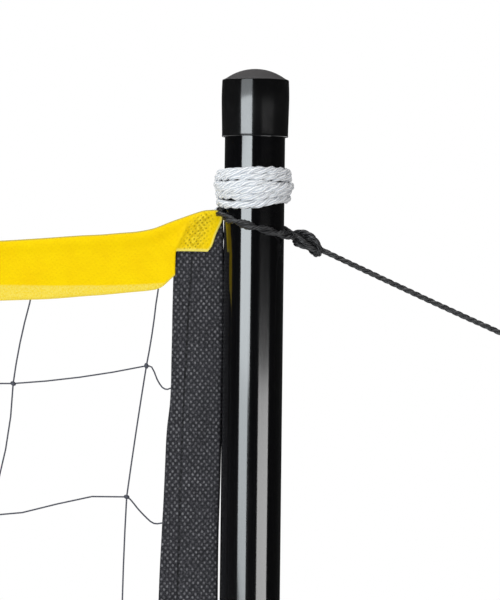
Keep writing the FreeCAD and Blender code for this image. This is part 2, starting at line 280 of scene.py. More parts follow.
def painted_steel():
    """Gloss paint with a coat, a little dust and the fine waves of a sprayed surface."""
    settings = bpy.context.scene.net_set_poles
    rough = settings.paint_roughness
    tree, shader = new_material(
        "gloss black paint", settings.paint, rough,
        Coat_Weight=1.0, Coat_Roughness=0.07, Coat_IOR=1.45, Specular_IOR_Level=0.25,
    )
    dust = object_noise(tree, 14, 4, (1, 1, 0.3))
    dusty = mixed(tree, spread(tree, dust, 0, 1, 0.45, 0.8), settings.paint, (0.004, 0.004, 0.005))
    feed(
        tree, shader, Base_Color=dusty,
        Roughness=spread(tree, dust, rough - 0.03, rough + 0.05, 0.3, 0.7),
    )
    bumped(tree, shader, object_noise(tree, 260, 2), 0.00003, 0.5)


def moulded_plastic(name, colour, roughness, grain_size, depth, **inputs):
    """Plastic or rubber with a fine grain and cloudy patches."""
    tree, shader = new_material(name, colour, roughness, **inputs)
    cloud = object_noise(tree, 35, 3)
    clouded = mixed(tree, spread(tree, cloud, 0, 1, 0.35, 0.75), colour, toned(colour, 1.7, 0.002))
    feed(
        tree, shader, Base_Color=clouded,
        Roughness=spread(tree, cloud, roughness - 0.05, roughness + 0.08, 0.3, 0.7),
    )
    bumped(tree, shader, object_noise(tree, grain_size, 3), depth, 0.6)


def brushed_zinc():
    """Zinc plating with a fine uneven sheen."""
    tree, shader = new_material("zinc plated steel", (0.60, 0.61, 0.62), 0.3, Metallic=1.0)
    streaks = object_noise(tree, 900, 3)
    tone = mixed(tree, streaks, (0.50, 0.51, 0.53), (0.70, 0.70, 0.69))
    feed(tree, shader, Base_Color=tone, Roughness=spread(tree, streaks, 0.22, 0.42, 0.3, 0.7))
    bumped(tree, shader, streaks, 0.00004, 0.5)


def rope_fibre(name, colour, shade, yarns, yarn_lay, roughness, depth, gap):
    """Fine yarns along each strand, on the strand's own coordinates: metres along it, and turns round it. The
    grooves between the yarns are painted in the shade colour, as painted shade.
    """
    tree, shader = new_material(name, colour, roughness)
    along = add_node(tree, "ShaderNodeVectorMath", operation="DOT_PRODUCT")
    along.inputs[1].default_value = (2 * math.pi / yarn_lay, 2 * math.pi * yarns, 0)
    tree.links.new(coordinates(tree, "UV"), along.inputs[0])
    stray = spread(tree, object_noise(tree, 260, 3), -3.2, 3.2)
    wave = worked(tree, "SINE", worked(tree, "ADD", along.outputs["Value"], stray))
    yarn = spread(tree, wave, 0, 1, gap, gap + 1.6)
    fuzz = object_noise(tree, 1100, 3)
    cloud = object_noise(tree, 70, 3)
    # Painted shade: the grooves between the yarns take the shade colour, the crests the rope's own colour
    yarn_groove_shade = mixed(tree, yarn, shade, colour)
    tone = mixed(tree, spread(tree, cloud, 0, 0.6, 0.45, 0.75), yarn_groove_shade, toned(colour, 0.8))
    feed(
        tree, shader, Base_Color=mixed(tree, spread(tree, fuzz, 0, 0.5, 0.55, 0.8), tone, shade),
        Roughness=spread(tree, fuzz, roughness - 0.1, roughness + 0.15, 0.3, 0.7),
    )
    bumped(tree, shader, yarn, depth, 0.8)


def pressed_dots(tree, pitch, stretch, turn, looseness):
    """The factor of a lattice of pressed dots, on the cloth's own coordinates in metres."""
    lattice = add_node(
        tree, "ShaderNodeMapping", Scale=(1 / pitch, 1 / (stretch * pitch), 1),
        Rotation=(0, 0, math.radians(turn)),
    )
    dots = add_node(
        tree, "ShaderNodeTexVoronoi", voronoi_dimensions="2D", Scale=1.0, Randomness=looseness
    )
    feed(tree, lattice, Vector=coordinates(tree, "UV"))
    feed(tree, dots, Vector=lattice.outputs["Vector"])
    return spread(tree, dots.outputs["Distance"], 1, 0, 0.13, 0.37)


def tape_cloth(name, colour, deeper, shine, **lattice_form):
    """Bonded cloth with a lattice of pressed dots.

    It gives the nodes, the shader, the ground's colour, the uneven dots, a fine noise and the even dots."""
    tree, shader = new_material(name, colour, 0.75, Specular_IOR_Level=shine)
    lattice = pressed_dots(tree, **lattice_form)
    fine = object_noise(tree, 480, 3)
    uneven = worked(tree, "MULTIPLY", lattice, spread(tree, fine, 0.12, 1.0, 0.36, 0.62))
    patches = spread(tree, object_noise(tree, 60, 2), 0.62, 1.0, 0.36, 0.6)
    cloud = object_noise(tree, 45, 4)
    ground = mixed(tree, spread(tree, cloud, 0, 1, 0.35, 0.7), colour, deeper)
    return tree, shader, ground, worked(tree, "MULTIPLY", uneven, patches), fine, lattice


def black_tape_cloth():
    """Felted black cloth with pale dots, and a dark line at the folded edge inside the side tape that is
    painted shade, standing for the thin shadow at the inner layer's edge.
    """
    settings = bpy.context.scene.net_set_tapes
    tree, shader, ground, dots, fine, lattice = tape_cloth(
        "black bonded tape", settings.black, toned(settings.black, 0.6), shine=0.2,
        pitch=settings.dot_pitch, stretch=1.24, turn=45, looseness=0.22,
    )
    fibres = spread(tree, object_noise(tree, 800, 3), 0, 0.85, 0.46, 0.72)
    felt = mixed(tree, fibres, ground, (0.058, 0.055, 0.064))
    dotted = mixed(tree, dots, felt, (0.185, 0.18, 0.19))
    # Painted shade: a broken dark line along the seam rows, for the shadow at the edge of the inner layer
    seam = worked(
        tree, "MULTIPLY", spread(tree, marked(tree, "seam"), 0, 1.0, 0.84, 0.96),
        spread(tree, fine, 0.25, 1.0, 0.38, 0.6),
    )
    feed(
        tree, shader, Base_Color=mixed(tree, seam, dotted, (0.002, 0.002, 0.0025)),
        Roughness=spread(tree, dots, 0.75, 0.5),
    )
    bumped(tree, shader, lattice, -0.00025, 0.7)


def yellow_tape_cloth():
    """Deeper yellow on two layers; paler on the single hem, where painted light stands for the surround
    shining through one layer; the lapped ends' dots over the black; a painted highlight along their cut edges
    and painted shade along the fold.
    """
    yellow = bpy.context.scene.net_set_tapes.yellow
    deeper = (yellow[0] * 0.965, yellow[1] * 0.91, yellow[2])
    tree, shader, ground, dots, fine, lattice = tape_cloth(
        "yellow bonded tape", yellow, deeper, shine=0.06, pitch=0.0027, stretch=1.0, turn=34, looseness=0.22
    )
    backing = marked(tree, "over_dark")
    grain = spread(tree, object_noise(tree, 950, 2), 0, 1, 0.34, 0.66)
    # Painted light: the single hem is paler, as if the white surround shone through the one layer, and
    # mottled by the grain
    backlit_hem_mottle = mixed(tree, grain, (0.86, 0.685, 0.11), (0.85, 0.61, 0.03))
    hem = spread(tree, marked(tree, "above_back_hem"), 1, 0, -0.7, 0.5)
    layers = mixed(tree, hem, ground, backlit_hem_mottle)
    pressed = mixed(tree, spread(tree, dots, 0, 0.42), layers, (0.80, 0.49, 0.002))
    blotch = spread(tree, object_noise(tree, 420, 3), 0, 1, 0.4, 0.6)
    worn = mixed(tree, blotch, (0.60, 0.405, 0.006), (0.90, 0.67, 0.030))
    dulled = mixed(tree, spread(tree, backing, 0, 0.9), pressed, worn)
    broken = worked(tree, "MULTIPLY", lattice, spread(tree, fine, 0.25, 1.0, 0.36, 0.56))
    shown = worked(tree, "MULTIPLY", broken, spread(tree, backing, 0, 1, 0.08, 0.7))
    through = mixed(tree, shown, dulled, (0.36, 0.235, 0.004))
    # Painted highlight: the lapped end's cut edges are painted paler, as if catching the light
    rim = spread(tree, marked(tree, "cut_edge"), 0, 0.8, 0.15, 0.6)
    cut = mixed(tree, rim, through, (0.93, 0.80, 0.17))
    # Painted shade: a dark olive line along the fold at the top, where the cloth turns away from the light
    parts = add_node(tree, "ShaderNodeSeparateXYZ")
    feed(tree, parts, Vector=coordinates(tree, "UV"))
    depth = worked(tree, "ABSOLUTE", parts.outputs["Y"])
    fold = mixed(tree, spread(tree, depth, 0.8, 0, 0.0003, 0.0013), cut, (0.40, 0.35, 0.07))
    feed(tree, shader, Base_Color=fold)
    bumped(tree, shader, lattice, -0.0002, 0.5)


def net_twine_fibre():
    """Dark twine with a fine fuzz."""
    colour = bpy.context.scene.net_set_net.colour
    tree, shader = new_material("dark twine", colour, 0.55)
    fuzz = object_noise(tree, 1500, 2)
    feed(tree, shader, Base_Color=mixed(tree, fuzz, colour, toned(colour, 1.8)))
    bumped(tree, shader, fuzz, 0.0001, 0.6)


def seen_rays(tree):
    """One for a ray from the camera, a reflected ray and a ray through something, and nought for the rest."""
    rays = add_node(tree, "ShaderNodeLightPath").outputs
    straight = worked(tree, "MAXIMUM", rays["Is Camera Ray"], rays["Is Transmission Ray"])
    return worked(tree, "MAXIMUM", straight, rays["Is Glossy Ray"])


def floor_finish():
    """A pale floor that keeps its shadow near the set and fades into the background further out."""
    floor = bpy.context.scene.net_set_studio.floor
    tree, shader = new_material("pale floor", floor, 0.75)
    feed(tree, shader, Base_Color=mixed(tree, object_noise(tree, 3, 4), floor, toned(floor, 1.02)))
    reach = add_node(tree, "ShaderNodeVectorMath", operation="LENGTH")
    tree.links.new(coordinates(tree, "Object"), reach.inputs[0])
    far = spread(tree, reach.outputs["Value"], 0, 1, FLOOR_FADE_START, FLOOR_FADE_END)
    white = add_node(tree, "ShaderNodeEmission", Strength=1.0)
    blend = add_node(tree, "ShaderNodeMixShader")
    feed(tree, blend, Fac=worked(tree, "MULTIPLY", far, seen_rays(tree)))
    tree.links.new(shader.outputs["BSDF"], blend.inputs[1])
    tree.links.new(white.outputs["Emission"], blend.inputs[2])
    feed(tree, tree.nodes["Material Output"], Surface=blend.outputs["Shader"])


# Shapes


def linked(name, data):
    """A new object in the scene."""
    item = bpy.data.objects.new(name, data)
    bpy.context.scene.collection.objects.link(item)
    return item


def on_stage(name, data):
    """A new object of the studio, which isn't part of the set."""
    item = linked(name, data)
    return item


def add_piece(mesh, node, finish, *more, body=MOVING):
    """Link a finished mesh as a piece that rides on a body, in place of a CAD node."""
    for name in (finish, *more):
        mesh.materials.append(bpy.data.materials[name])
    piece = linked(mesh.name, mesh)
    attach(piece, body)
    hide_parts(node)
    return piece


def add_rope(name, lines, thickness, node, finish="black rope fibre", **form):
    """Lay ropes along lines, as one piece."""
    return add_piece(laid_rope(name, lines, thickness, **form), node, finish)


def gathered(meshes):
    """The shapes of several meshes together, with their coordinates kept."""
    work = bmesh.new()
    for mesh in meshes:
        work.from_mesh(mesh)
        bpy.data.meshes.remove(mesh)
    return work


def plain_mesh(name, work):
    mesh = bpy.data.meshes.new(name)
    work.to_mesh(mesh)
    work.free()
    return mesh


def smooth_mesh(name, work, sharp_angle=None):
    """The mesh of a shape, smooth but for edges over an angle in degrees."""
    mesh = plain_mesh(name, work)
    mesh.shade_smooth()
    if sharp_angle:
        mesh.set_sharp_from_angle(angle=math.radians(sharp_angle))
    return mesh


def new_verts(made):
    """The corners among the things that a bmesh operator has made."""
    return [item for item in made["geom"] if isinstance(item, bmesh.types.BMVert)]


def half_turn(work, verts):
    """Turn corners to the other pole, round the upright axis midway between the poles."""
    bmesh.ops.rotate(work, verts=verts, cent=(0, 0, 0), matrix=Matrix.Rotation(math.pi, 3, "Z"))


def to_sides(work):
    """Copy everything to the other pole."""
    half_turn(work, new_verts(bmesh.ops.duplicate(work, geom=work.verts[:] + work.edges[:] + work.faces[:])))


def spun(outline, centre, closed=True, steps=96):
    """A shape spun from an outline of (radius, height) points round an upright axis."""
    work = bmesh.new()
    ring = [work.verts.new((centre.x + radius, centre.y, centre.z + height)) for radius, height in outline]
    edges = [work.edges.new(pair) for pair in zip(ring, ring[1:] + ring[: 1 if closed else 0])]
    bmesh.ops.spin(
        work, geom=ring + edges, cent=centre, axis=(0, 0, 1), dvec=(0, 0, 0), angle=2 * math.pi,
        steps=steps, use_merge=True,
    )
    bmesh.ops.remove_doubles(work, verts=work.verts, dist=0.000002)
    bmesh.ops.recalc_face_normals(work, faces=work.faces)
    return work


def drawn(kind, lines, **looks):
    """The mesh that a curve through lines of places draws, with what it looks like."""
    curve = bpy.data.curves.new("route", "CURVE")
    curve.dimensions = "3D"
    for name, value in looks.items():
        setattr(curve, name, value)
    for line in lines:
        spline = curve.splines.new(kind)
        spline.points.add(len(line) - 1)
        for knot, place in zip(spline.points, line):
            knot.co = (*place, 1)
        if kind == "NURBS":
            spline.order_u = 3
            spline.use_endpoint_u = True
            spline.resolution_u = 12
    guide = bpy.data.objects.new("route", curve)
    mesh = bpy.data.meshes.new_from_object(guide)
    bpy.data.objects.remove(guide)
    bpy.data.curves.remove(curve)
    return mesh


def route_line(places):
    """Points along the smooth spline of a route's places."""
    mesh = drawn("NURBS", [places])
    line = [vertex.co.copy() for vertex in mesh.vertices]
    bpy.data.meshes.remove(mesh)
    return line


def line_length(line):
    return sum((b - a).length for a, b in zip(line, line[1:]))


def evenly(line, step):
    """The line again, in equal steps."""
    count = max(2, round(line_length(line) / step))
    step = line_length(line) / count
    places = [line[0].copy()]
    wanted = step
    done = 0.0
    for a, b in zip(line, line[1:]):
        run = (b - a).length
        while run > 0 and wanted <= done + run + 1e-9 and len(places) < count:
            places.append(a.lerp(b, (wanted - done) / run))
            wanted += step
        done += run
    places.append(line[-1].copy())
    return places


def wound_round(line, radius, lay, phase, steps=12, uneven=0.0):
    """A line that turns round another one at a radius, once in each lay, and strays by an uneven amount."""
    places = evenly(line, lay / steps)
    step = line_length(places) / (len(places) - 1)
    ways = [(b - a).normalized() for a, b in zip(places, places[1:])]
    ways.append(ways[-1])
    across = ways[0].cross(Vector((0.21, 0.93, 0.31))).normalized()
    turned = []
    for index, (place, way) in enumerate(zip(places, ways)):
        across = (across - way * across.dot(way)).normalized()
        other = way.cross(across)
        angle = phase - 2 * math.pi * index * step / lay
        strayed = noise.noise_vector(place * 260 + Vector((phase, 2 * phase, 0))) * uneven
        turned.append(place + (across * math.cos(angle) + other * math.sin(angle)) * radius + strayed)
    return turned


def tube_mesh(name, lines, radius, sides_step=1):
    """Round tubes along lines, as one mesh, with metres along them and turns round them as coordinates."""
    mesh = drawn("POLY", lines, bevel_depth=radius, bevel_resolution=sides_step, use_fill_caps=True)
    mesh.name = name
    mean = sum(line_length(line) for line in lines) / len(lines)
    for corner in mesh.uv_layers[0].data:
        corner.uv = (corner.uv[0] * mean, corner.uv[1])
    mesh.shade_smooth()
    return mesh


def laid_rope(name, lines, diameter, steps=12, sides_step=2, uneven=0.0):
    """Ropes of three strands that turn together round each line."""
    lay = bpy.context.scene.net_set_ropes.lay * diameter
    strand_radius = diameter / 2 * 0.53
    strand_centre = diameter / 2 * 0.47
    wound = [
        wound_round(line, strand_centre, lay, 2 * math.pi * strand / 3, steps, uneven)
        for line in lines
        for strand in range(3)
    ]
    return tube_mesh(name, wound, strand_radius, sides_step)


def by_side(places, way):
    """Places in millimetres from the right pole's axis and the ground, for one pole, in metres."""
    return [Vector((way * (POLE_X + x / 1000), y / 1000, z / 1000)) for x, y, z in places]


def around(places, way):
    """(degrees, radius, height) places round a pole, in millimetres, for one pole, in metres."""
    turned = [(math.radians(angle), radius, z) for angle, radius, z in places]
    return by_side([(radius * math.cos(a), radius * math.sin(a), z) for a, radius, z in turned], way)


# Guy rope, in millimetres. Its places are distances along it, up from it and behind it

GUY_SLOPE = math.radians(24)
GUY_WAY = Vector((math.cos(GUY_SLOPE), 0, -math.sin(GUY_SLOPE)))
GUY_UP = Vector((math.sin(GUY_SLOPE), 0, math.cos(GUY_SLOPE)))
GUY_START = Vector((31.5, 0, 2242.5))
GUY_KNOT = 22.0
GUY_LENGTH = 195.0
GUY_END = GUY_KNOT + GUY_LENGTH
LOOP_KNOT = 14.0
GUY_RUN = [(-3, 0, 0), (30, -0.4, 0), (98, -0.9, 0), (165, -0.4, 0), (GUY_LENGTH + 3, 0, 0)]
GUY_LOOP = [
    (2, 1.6, 0.8), (10, 2.0, 0.6), (16, 3.0, 0.3), (22, 8.0, 0), (31, 15.5, -0.3), (41, 18.6, -0.4),
    (51, 14.5, -0.4), (56.5, 5.0, -0.2), (56.5, -5.0, 0.2), (51, -14.5, 0.4), (41, -18.6, 0.4),
    (31, -15.5, 0.3), (22, -8.0, 0), (16, -3.0, -0.3), (10, -2.0, -0.6), (2, -1.6, -0.8),
]
FRONT_PASS = [
    (-6, 1.8, -1.6), (-2, 1.6, -3.4), (4, 0.6, -5.2), (10, -1.6, -5.2), (15.5, -1.6, -3.0), (20, -0.4, -0.8),
    (26, 0, 0),
]
UPPER_PASS = [
    (-5, -0.6, 2.2), (-2.5, 3.4, 1.2), (2.5, 6.6, -0.8), (9.5, 6.6, -2.2), (16, 3.6, -3.2),
    (20.5, -0.8, -3.8), (20.6, -4.6, -1.0), (16.6, -5.0, 2.8), (11, -1.4, 4.6), (5, 1.4, 4.4),
    (0.5, -1.0, 3.0), (0.2, -3.6, 0.2), (3.6, -3.8, -2.2), (8.6, -3.0, -1.8), (12.5, -2.4, 0.6),
]
FILLING = [(-4, 0.4, 0.6), (1, 2.8, 1.6), (6, 3.6, 1.2), (11, 2.8, 0.8), (16, 0.4, 0.6), (21, -1.2, 0.4)]

# Turns round a pole: degrees, distance from its axis and height in millimetres

HITCH = [
    (3, 33.0, 2243.2), (-14, 28.6, 2243.8), (-33, 26.7, 2244.8), (-59, 26.4, 2246.8), (-75, 26.4, 2248.3),
    (-92, 26.4, 2250.2), (-105, 26.4, 2251.6), (-121, 26.4, 2253.6), (-148, 26.4, 2257.2),
    (-165, 26.6, 2260.4), (-185, 26.6, 2262.2), (-215, 26.6, 2261.8), (-250, 26.6, 2259.0),
    (-290, 26.4, 2254.0), (-325, 26.7, 2249.0), (-345, 28.6, 2245.8), (-362, 33.0, 2243.4),
]
TIE = [
    (165, 26.8, 1674.0), (135, 26.0, 1670.8), (90, 25.4, 1669.6), (45, 25.4, 1669.0), (0, 25.4, 1668.4),
    (-45, 25.4, 1667.8), (-90, 25.4, 1667.2), (-123, 25.6, 1666.4),
]
LASHING_START = (165, 27.4, 2263.0)
LASHING_END = (-2060, 27.0, 2285.6)

# The lashing between its ends: distance and height, from 135 degrees on and then every 45 degrees back

LASHING = [
    (26.6, 2264.6), (26.0, 2267.0), (26.0, 2270.4), (26.4, 2272.6), (26.0, 2270.8), (26.2, 2266.8),
    (26.2, 2266.1), (27.8, 2268.8), (26.2, 2270.6), (26.0, 2273.4), (26.0, 2276.0), (27.2, 2277.7),
    (27.0, 2275.8), (27.0, 2271.8), (27.2, 2273.6), (28.2, 2274.4), (26.6, 2276.0), (26.2, 2278.4),
    (26.6, 2280.3), (28.8, 2281.0), (29.6, 2279.8), (29.4, 2277.3), (28.8, 2277.0), (28.4, 2278.5),
    (26.4, 2278.7), (26.0, 2279.2), (26.0, 2280.6), (26.4, 2281.6), (26.6, 2280.4), (28.4, 2283.1),
    (27.8, 2280.4), (30.0, 2281.6), (26.6, 2283.5), (26.2, 2285.1), (26.2, 2286.1), (27.2, 2286.8),
    (26.4, 2287.9), (27.0, 2286.9), (26.6, 2288.0), (29.8, 2286.2), (26.8, 2287.7), (26.0, 2289.0),
    (26.0, 2289.9), (26.4, 2290.5), (26.2, 2291.7), (26.0, 2291.7), (26.2, 2290.9), (27.8, 2289.6),
    (27.2, 2287.1),
]

# Leads from the net's corners to the poles, and the ropes in their tapes, in millimetres

LASHING_LEAD = [(-41, 1.2, 2256.8), (-36, 2.6, 2257.8), (-32, 4.8, 2259.8)]
FOOT_ROPE_HEIGHT = 1683.35
TIE_LEAD = [(-41, 0, FOOT_ROPE_HEIGHT), (-36, 0.6, 1682.6), (-31.5, 3.2, 1679.0)]
HEAD_ROPE_STATIONS = (44, 52, 62, 73, 85, 107, 144, 189, 260, 380, 500, 900, 1500, 2100)
ROPE_BELOW_FOLD = 4.4


def along_guy(places, start=0.0):
    """Places given along, above and behind the guy rope, measured from the pole's axis instead."""
    origin = GUY_START + GUY_WAY * start
    return [origin + GUY_WAY * s + GUY_UP * t + Vector((0, y, 0)) for s, t, y in places]


def wraps(first, last, radius, turns, phase):
    """Places of a neat winding round the guy rope, between two distances along it."""
    count = round(turns * 10)
    full = radius / math.cos(math.pi / 10)
    places = []
    for index in range(count + 1):
        share = index / count
        angle = phase + 2 * math.pi * turns * share
        places.append((first + (last - first) * share, full * math.cos(angle), full * math.sin(angle)))
    return places


# Camera in front of the right corner, in metres and degrees, with its lens in millimetres

CAMERA_PLACE = (POLE_X - 0.00235, -2.4, 2.196)
CAMERA_ROLL = 0.66
CAMERA_LENS = 192.96


class NETSET_OT_camera(Operator):
    """A level long lens that looks square at the right pole's top."""

    bl_idname = "net_set.camera"
    bl_label = "Camera"

    def execute(self, context):
        """Place the camera in front of the net's right corner."""
        lens = bpy.data.cameras.new("camera")
        lens.sensor_width = 36.0
        lens.lens = CAMERA_LENS
        camera = linked("camera", lens)
        camera.rotation_mode = "QUATERNION"
        place = Matrix.Translation(CAMERA_PLACE)
        level = Matrix.Rotation(math.radians(90), 4, "X")
        roll = Matrix.Rotation(math.radians(CAMERA_ROLL), 4, "Z")
        camera.matrix_world = place @ level @ roll
        context.scene.camera = camera
        return {"FINISHED"}


class NETSET_OT_guy_ropes(Operator):
    """The taut black ropes with their knotted end loops."""

    bl_idname = "net_set.guy_ropes"
    bl_label = "Guy ropes"

    def execute(self, context):
        """Lay each taut rope, its end loop and the knot that closes it."""
        thick = context.scene.net_set_ropes.guy_rope
        knot_places = wraps(first=0.5, last=LOOP_KNOT - 0.5, radius=4.7, turns=2.8, phase=0.6)
        for side, way in SIDES:
            run_line, loop_line, knot_line = (
                route_line(by_side(along_guy(places, start), way))
                for places, start in ((GUY_RUN, GUY_KNOT), (GUY_LOOP, GUY_END), (knot_places, GUY_END))
            )
            run = add_rope(f"guy_line_{side}", [run_line], thick, f"guy_rope_{side}")
            loop = add_rope(f"guy_loop_{side}", [loop_line], thick, "guy_eyes")
            knot = add_rope(f"guy_loop_knot_{side}", [knot_line], thick * 0.94, "eye_knots")
            by_side(along_guy([(0, 0, 0)], GUY_KNOT), way)[0]
        return {"FINISHED"}


class NETSET_OT_guy_hitches(Operator):
    """The doubled rope round each pole and the knot beside it."""

    bl_idname = "net_set.guy_hitches"
    bl_label = "Guy rope hitches"

    def execute(self, context):
        """Wind the doubled rope round each pole and tie its knot."""
        thick = context.scene.net_set_ropes.guy_rope
        for side, way in SIDES:
            centre = route_line(around(HITCH, way))
            pair = [
                wound_round(centre, radius=thick * 0.38, lay=0.034, phase=phase)
                for phase in (0.9, 0.9 + math.pi)
            ]
            add_rope(f"guy_hitch_{side}", pair, thick * 0.84, "guy_hitches")
            passes = [
                route_line(by_side(along_guy(places), way)) for places in (FRONT_PASS, UPPER_PASS, FILLING)
            ]
            add_rope(f"guy_knot_{side}", passes, thick, "guy_knots")
        return {"FINISHED"}


class NETSET_OT_lashings(Operator):
    """The white head rope, wound round each pole above the net."""

    bl_idname = "net_set.lashings"
    bl_label = "Head rope lashings"

    def execute(self, context):
        """Wind the head rope's ends round both poles, a little unevenly."""
        thick = context.scene.net_set_ropes.head_rope
        turns = [(135 - 45 * index, *place) for index, place in enumerate(LASHING)]
        winding = [LASHING_START, *turns, LASHING_END]
        lines = [route_line(by_side(LASHING_LEAD, way) + around(winding, way)) for side, way in SIDES]
        ropes = [laid_rope("lashing", [line], thick, uneven=0.0009) for line in lines]
        add_piece(smooth_mesh("white_lashings", gathered(ropes)), "lashings", "white rope fibre")
        return {"FINISHED"}


class NETSET_OT_net_ropes(Operator):
    """The head rope and the foot rope inside their tapes, and the foot rope's ties."""

    bl_idname = "net_set.net_ropes"
    bl_label = "Ropes in the tapes"

    def execute(self, context):
        """Lay the ropes that the tapes fold round, and tie the foot rope to the poles."""
        settings = context.scene.net_set_ropes
        head = [(-at, 0, read_off(TOP_EDGE, at) - ROPE_BELOW_FOLD) for at in HEAD_ROPE_STATIONS]
        head.insert(0, (-40, 0.6, 2256.9))
        foot = [(-40, 0, FOOT_ROPE_HEIGHT), (-MIDDLE / 2, 0, FOOT_ROPE_HEIGHT)]
        for places, thick, kind, finish in (
            (head, settings.head_rope, "head", "white rope fibre"),
            (foot, settings.foot_rope, "foot", "black rope fibre"),
        ):
            line = route_line(by_side(places, 1) + by_side(reversed(places), -1))
            add_rope(f"{kind}_rope_in_tape", [line], thick, f"{kind}_rope", finish, steps=9, sides_step=1)
        lines = [route_line(by_side(TIE_LEAD, way) + around(TIE, way)) for side, way in SIDES]
        ties = [laid_rope("tie", [line], settings.foot_rope) for line in lines]
        add_piece(smooth_mesh("foot_ties", gathered(ties)), "bottom_ties", "black rope fibre")
        return {"FINISHED"}


# Tapes, on distances from the nearer pole's axis and heights above the ground, in millimetres

TOP_EDGE = [
    (23.5, 2263.2), (28.2, 2262.9), (37.1, 2262.3), (43.1, 2260.5), (47.6, 2258.9), (62.4, 2253.5),
    (75.8, 2248.1), (107.1, 2244.0), (144.4, 2241.4), (189.1, 2237.9), (260, 2236.6), (500, 2236.0),
    (2475, 2235.5),
]
HEM = [
    (23.5, 2213.0), (57.7, 2213.8), (60.2, 2212.2), (66.5, 2206.2), (70.0, 2203.9), (73.0, 2202.9),
    (90, 2200.8), (114.0, 2198.3), (151.3, 2195.2), (188.6, 2193.3), (260, 2192.0), (500, 2191.2),
    (2475, 2190.5),
]
BACK_HEM = [
    (23.5, 2216.0), (57.7, 2215.4), (61.0, 2213.0), (66.0, 2208.4), (71.0, 2207.7), (188, 2205.0),
    (260, 2204.6), (500, 2204.0), (2475, 2203.3),
]

# Top tape: its end in front and behind, and where its columns stand upright again

TAPE_END = 23.5
BACK_END = 22.9
UPRIGHT_FROM = 60

# The lapped end: where it starts, its lower edge, the share of its depth that is left, its end at each depth

LAP_START = 57.7
LAP_BOTTOM = 2232.2
LAP_SHARE = 0.565
LAP_END = [(0, 28.2), (2.4, 25.4), (6.3, 23.5), (9.3, 24.2), (17.8, 28.1), (27.2, 31.4), (30.7, 34.2)]

# Creases: from where, to where, how far they stand out and how wide they spread

CREASES = [
    ((57.8, 2235.0), (50.2, 2250.0), 2.4, 1.9),
    ((57.5, 2234.2), (74.2, 2243.3), 1.2, 2.0),
    ((62.0, 2222.0), (78.0, 2236.0), 0.5, 2.0),
]

# Side tape: its ends, and the distances of its fold at the pole, its seam and its inner edge at each height

SIDE_BOTTOM = 1686
SIDE_TOP = 2257
SIDE_FOLD = [
    (1690, 24.0), (1950, 24.0), (2023, 23.9), (2050, 23.3), (2086, 22.75), (2110, 22.54), (2230, 22.54),
    (2237, 22.95), (2240, 23.0), (2243, 22.55), (2246, 22.55), (2249, 23.1), (2255, 23.15), (2262, 23.1),
]
SEAM = [(1690, 56.5), (1950, 54.6), (2023.8, 53.4), (2083.5, 52.2), (2197.0, 47.6), (2233, 45.8), (2260, 45)]
SIDE_EDGE = [
    (1690, 69.3), (1850, 69.2), (1950, 68.6), (2023.6, 66.3), (2046.0, 65.2), (2098.3, 63.4), (2120.7, 61.2),
    (2158.0, 60.3), (2195.3, 59.9), (2225.2, 58.9), (2233.0, 57.2), (2260, 56.0),
]


def read_off(table, at):
    """A value from a table of (place, value) pairs, smooth between them."""
    if at <= table[0][0]:
        return table[0][1]
    for index, ((a, low), (b, high)) in enumerate(zip(table, table[1:])):
        if at <= b:
            before = table[max(index - 1, 0)]
            after = table[min(index + 2, len(table) - 1)]
            run = b - a
            share = (at - a) / run
            slope = (high - low) / run
            slope_in = 0.5 * (slope + (low - before[1]) / (a - before[0])) if a > before[0] else slope
            slope_out = 0.5 * (slope + (after[1] - high) / (after[0] - b)) if after[0] > b else slope
            return (
                low * (1 + 2 * share) * (1 - share) ** 2
                + slope_in * run * share * (1 - share) ** 2
                + high * share * share * (3 - 2 * share)
                + slope_out * run * share * share * (share - 1)
            )
    return table[-1][1]


def clamped(share):
    return min(1.0, max(0.0, share))


def eased(share):
    """A share from 0 to 1 that is gentle at both ends."""
    share = clamped(share)
    return share * share * (3 - 2 * share)


def fold_reach(depth, radius, flat):
    """Half the thickness of a tape folded over a rope, at a depth below its fold."""
    if depth < radius:
        return math.sqrt(max(0.0, radius * radius - (radius - depth) ** 2))
    return radius + (flat - radius) * eased((depth - radius) / (2.2 * radius))


def cloth(name, columns, rows, place, values=(), keep=None):
    """A sheet of cloth from a grid.

    The function place gives a corner's position, cloth coordinates and values from its column and row."""
    work = bmesh.new()
    bmesh.ops.create_grid(work, x_segments=columns, y_segments=rows, size=1.0)
    work.loops.layers.uv.new("UVMap")
    for value in values:
        work.verts.layers.float.new(value)

    def cell(co):
        return (co.x + 1) / 2 * columns, (co.y + 1) / 2 * rows

    if keep:
        gone = [face for face in work.faces if not keep(*cell(face.calc_center_median()))]
        bmesh.ops.delete(work, geom=gone, context="FACES")
    layers = [work.verts.layers.float[value] for value in values]
    spots = {}
    for vertex in work.verts:
        column, row = cell(vertex.co)
        vertex.co, spots[vertex], marks = place(round(column), round(row))
        for layer, mark in zip(layers, marks):
            vertex[layer] = mark
    uv = work.loops.layers.uv["UVMap"]
    for face in work.faces:
        for loop in face.loops:
            loop[uv].uv = spots[loop.vert]
    return smooth_mesh(name, work)


def add_tape(mesh, node, finish):
    piece = add_piece(mesh, node, finish)
    shell = piece.modifiers.new("cloth thickness", "SOLIDIFY")
    shell.thickness = bpy.context.scene.net_set_tapes.thickness
    shell.offset = 0


def tape_spots(first, cut, cut_columns, fine_step, longest=45, fine_end=120):
    """Distances from the pole's axis at which a tape gets a column, close together at the pole."""
    spots = [first + (cut - first) * index / cut_columns for index in range(cut_columns + 1)]
    while spots[-1] < fine_end:
        spots.append(spots[-1] + fine_step)
    step = fine_step
    while spots[-1] < MIDDLE - 1.5 * longest:
        step = min(longest, step * 1.12)
        spots.append(spots[-1] + step)
    spots.append(MIDDLE)
    return spots


def both_halves(spots, column):
    """The side and the distance from that side's pole, for a column counted from the left end."""
    last = len(spots) - 1
    return (-1, spots[column]) if column <= last else (1, spots[2 * last - column])


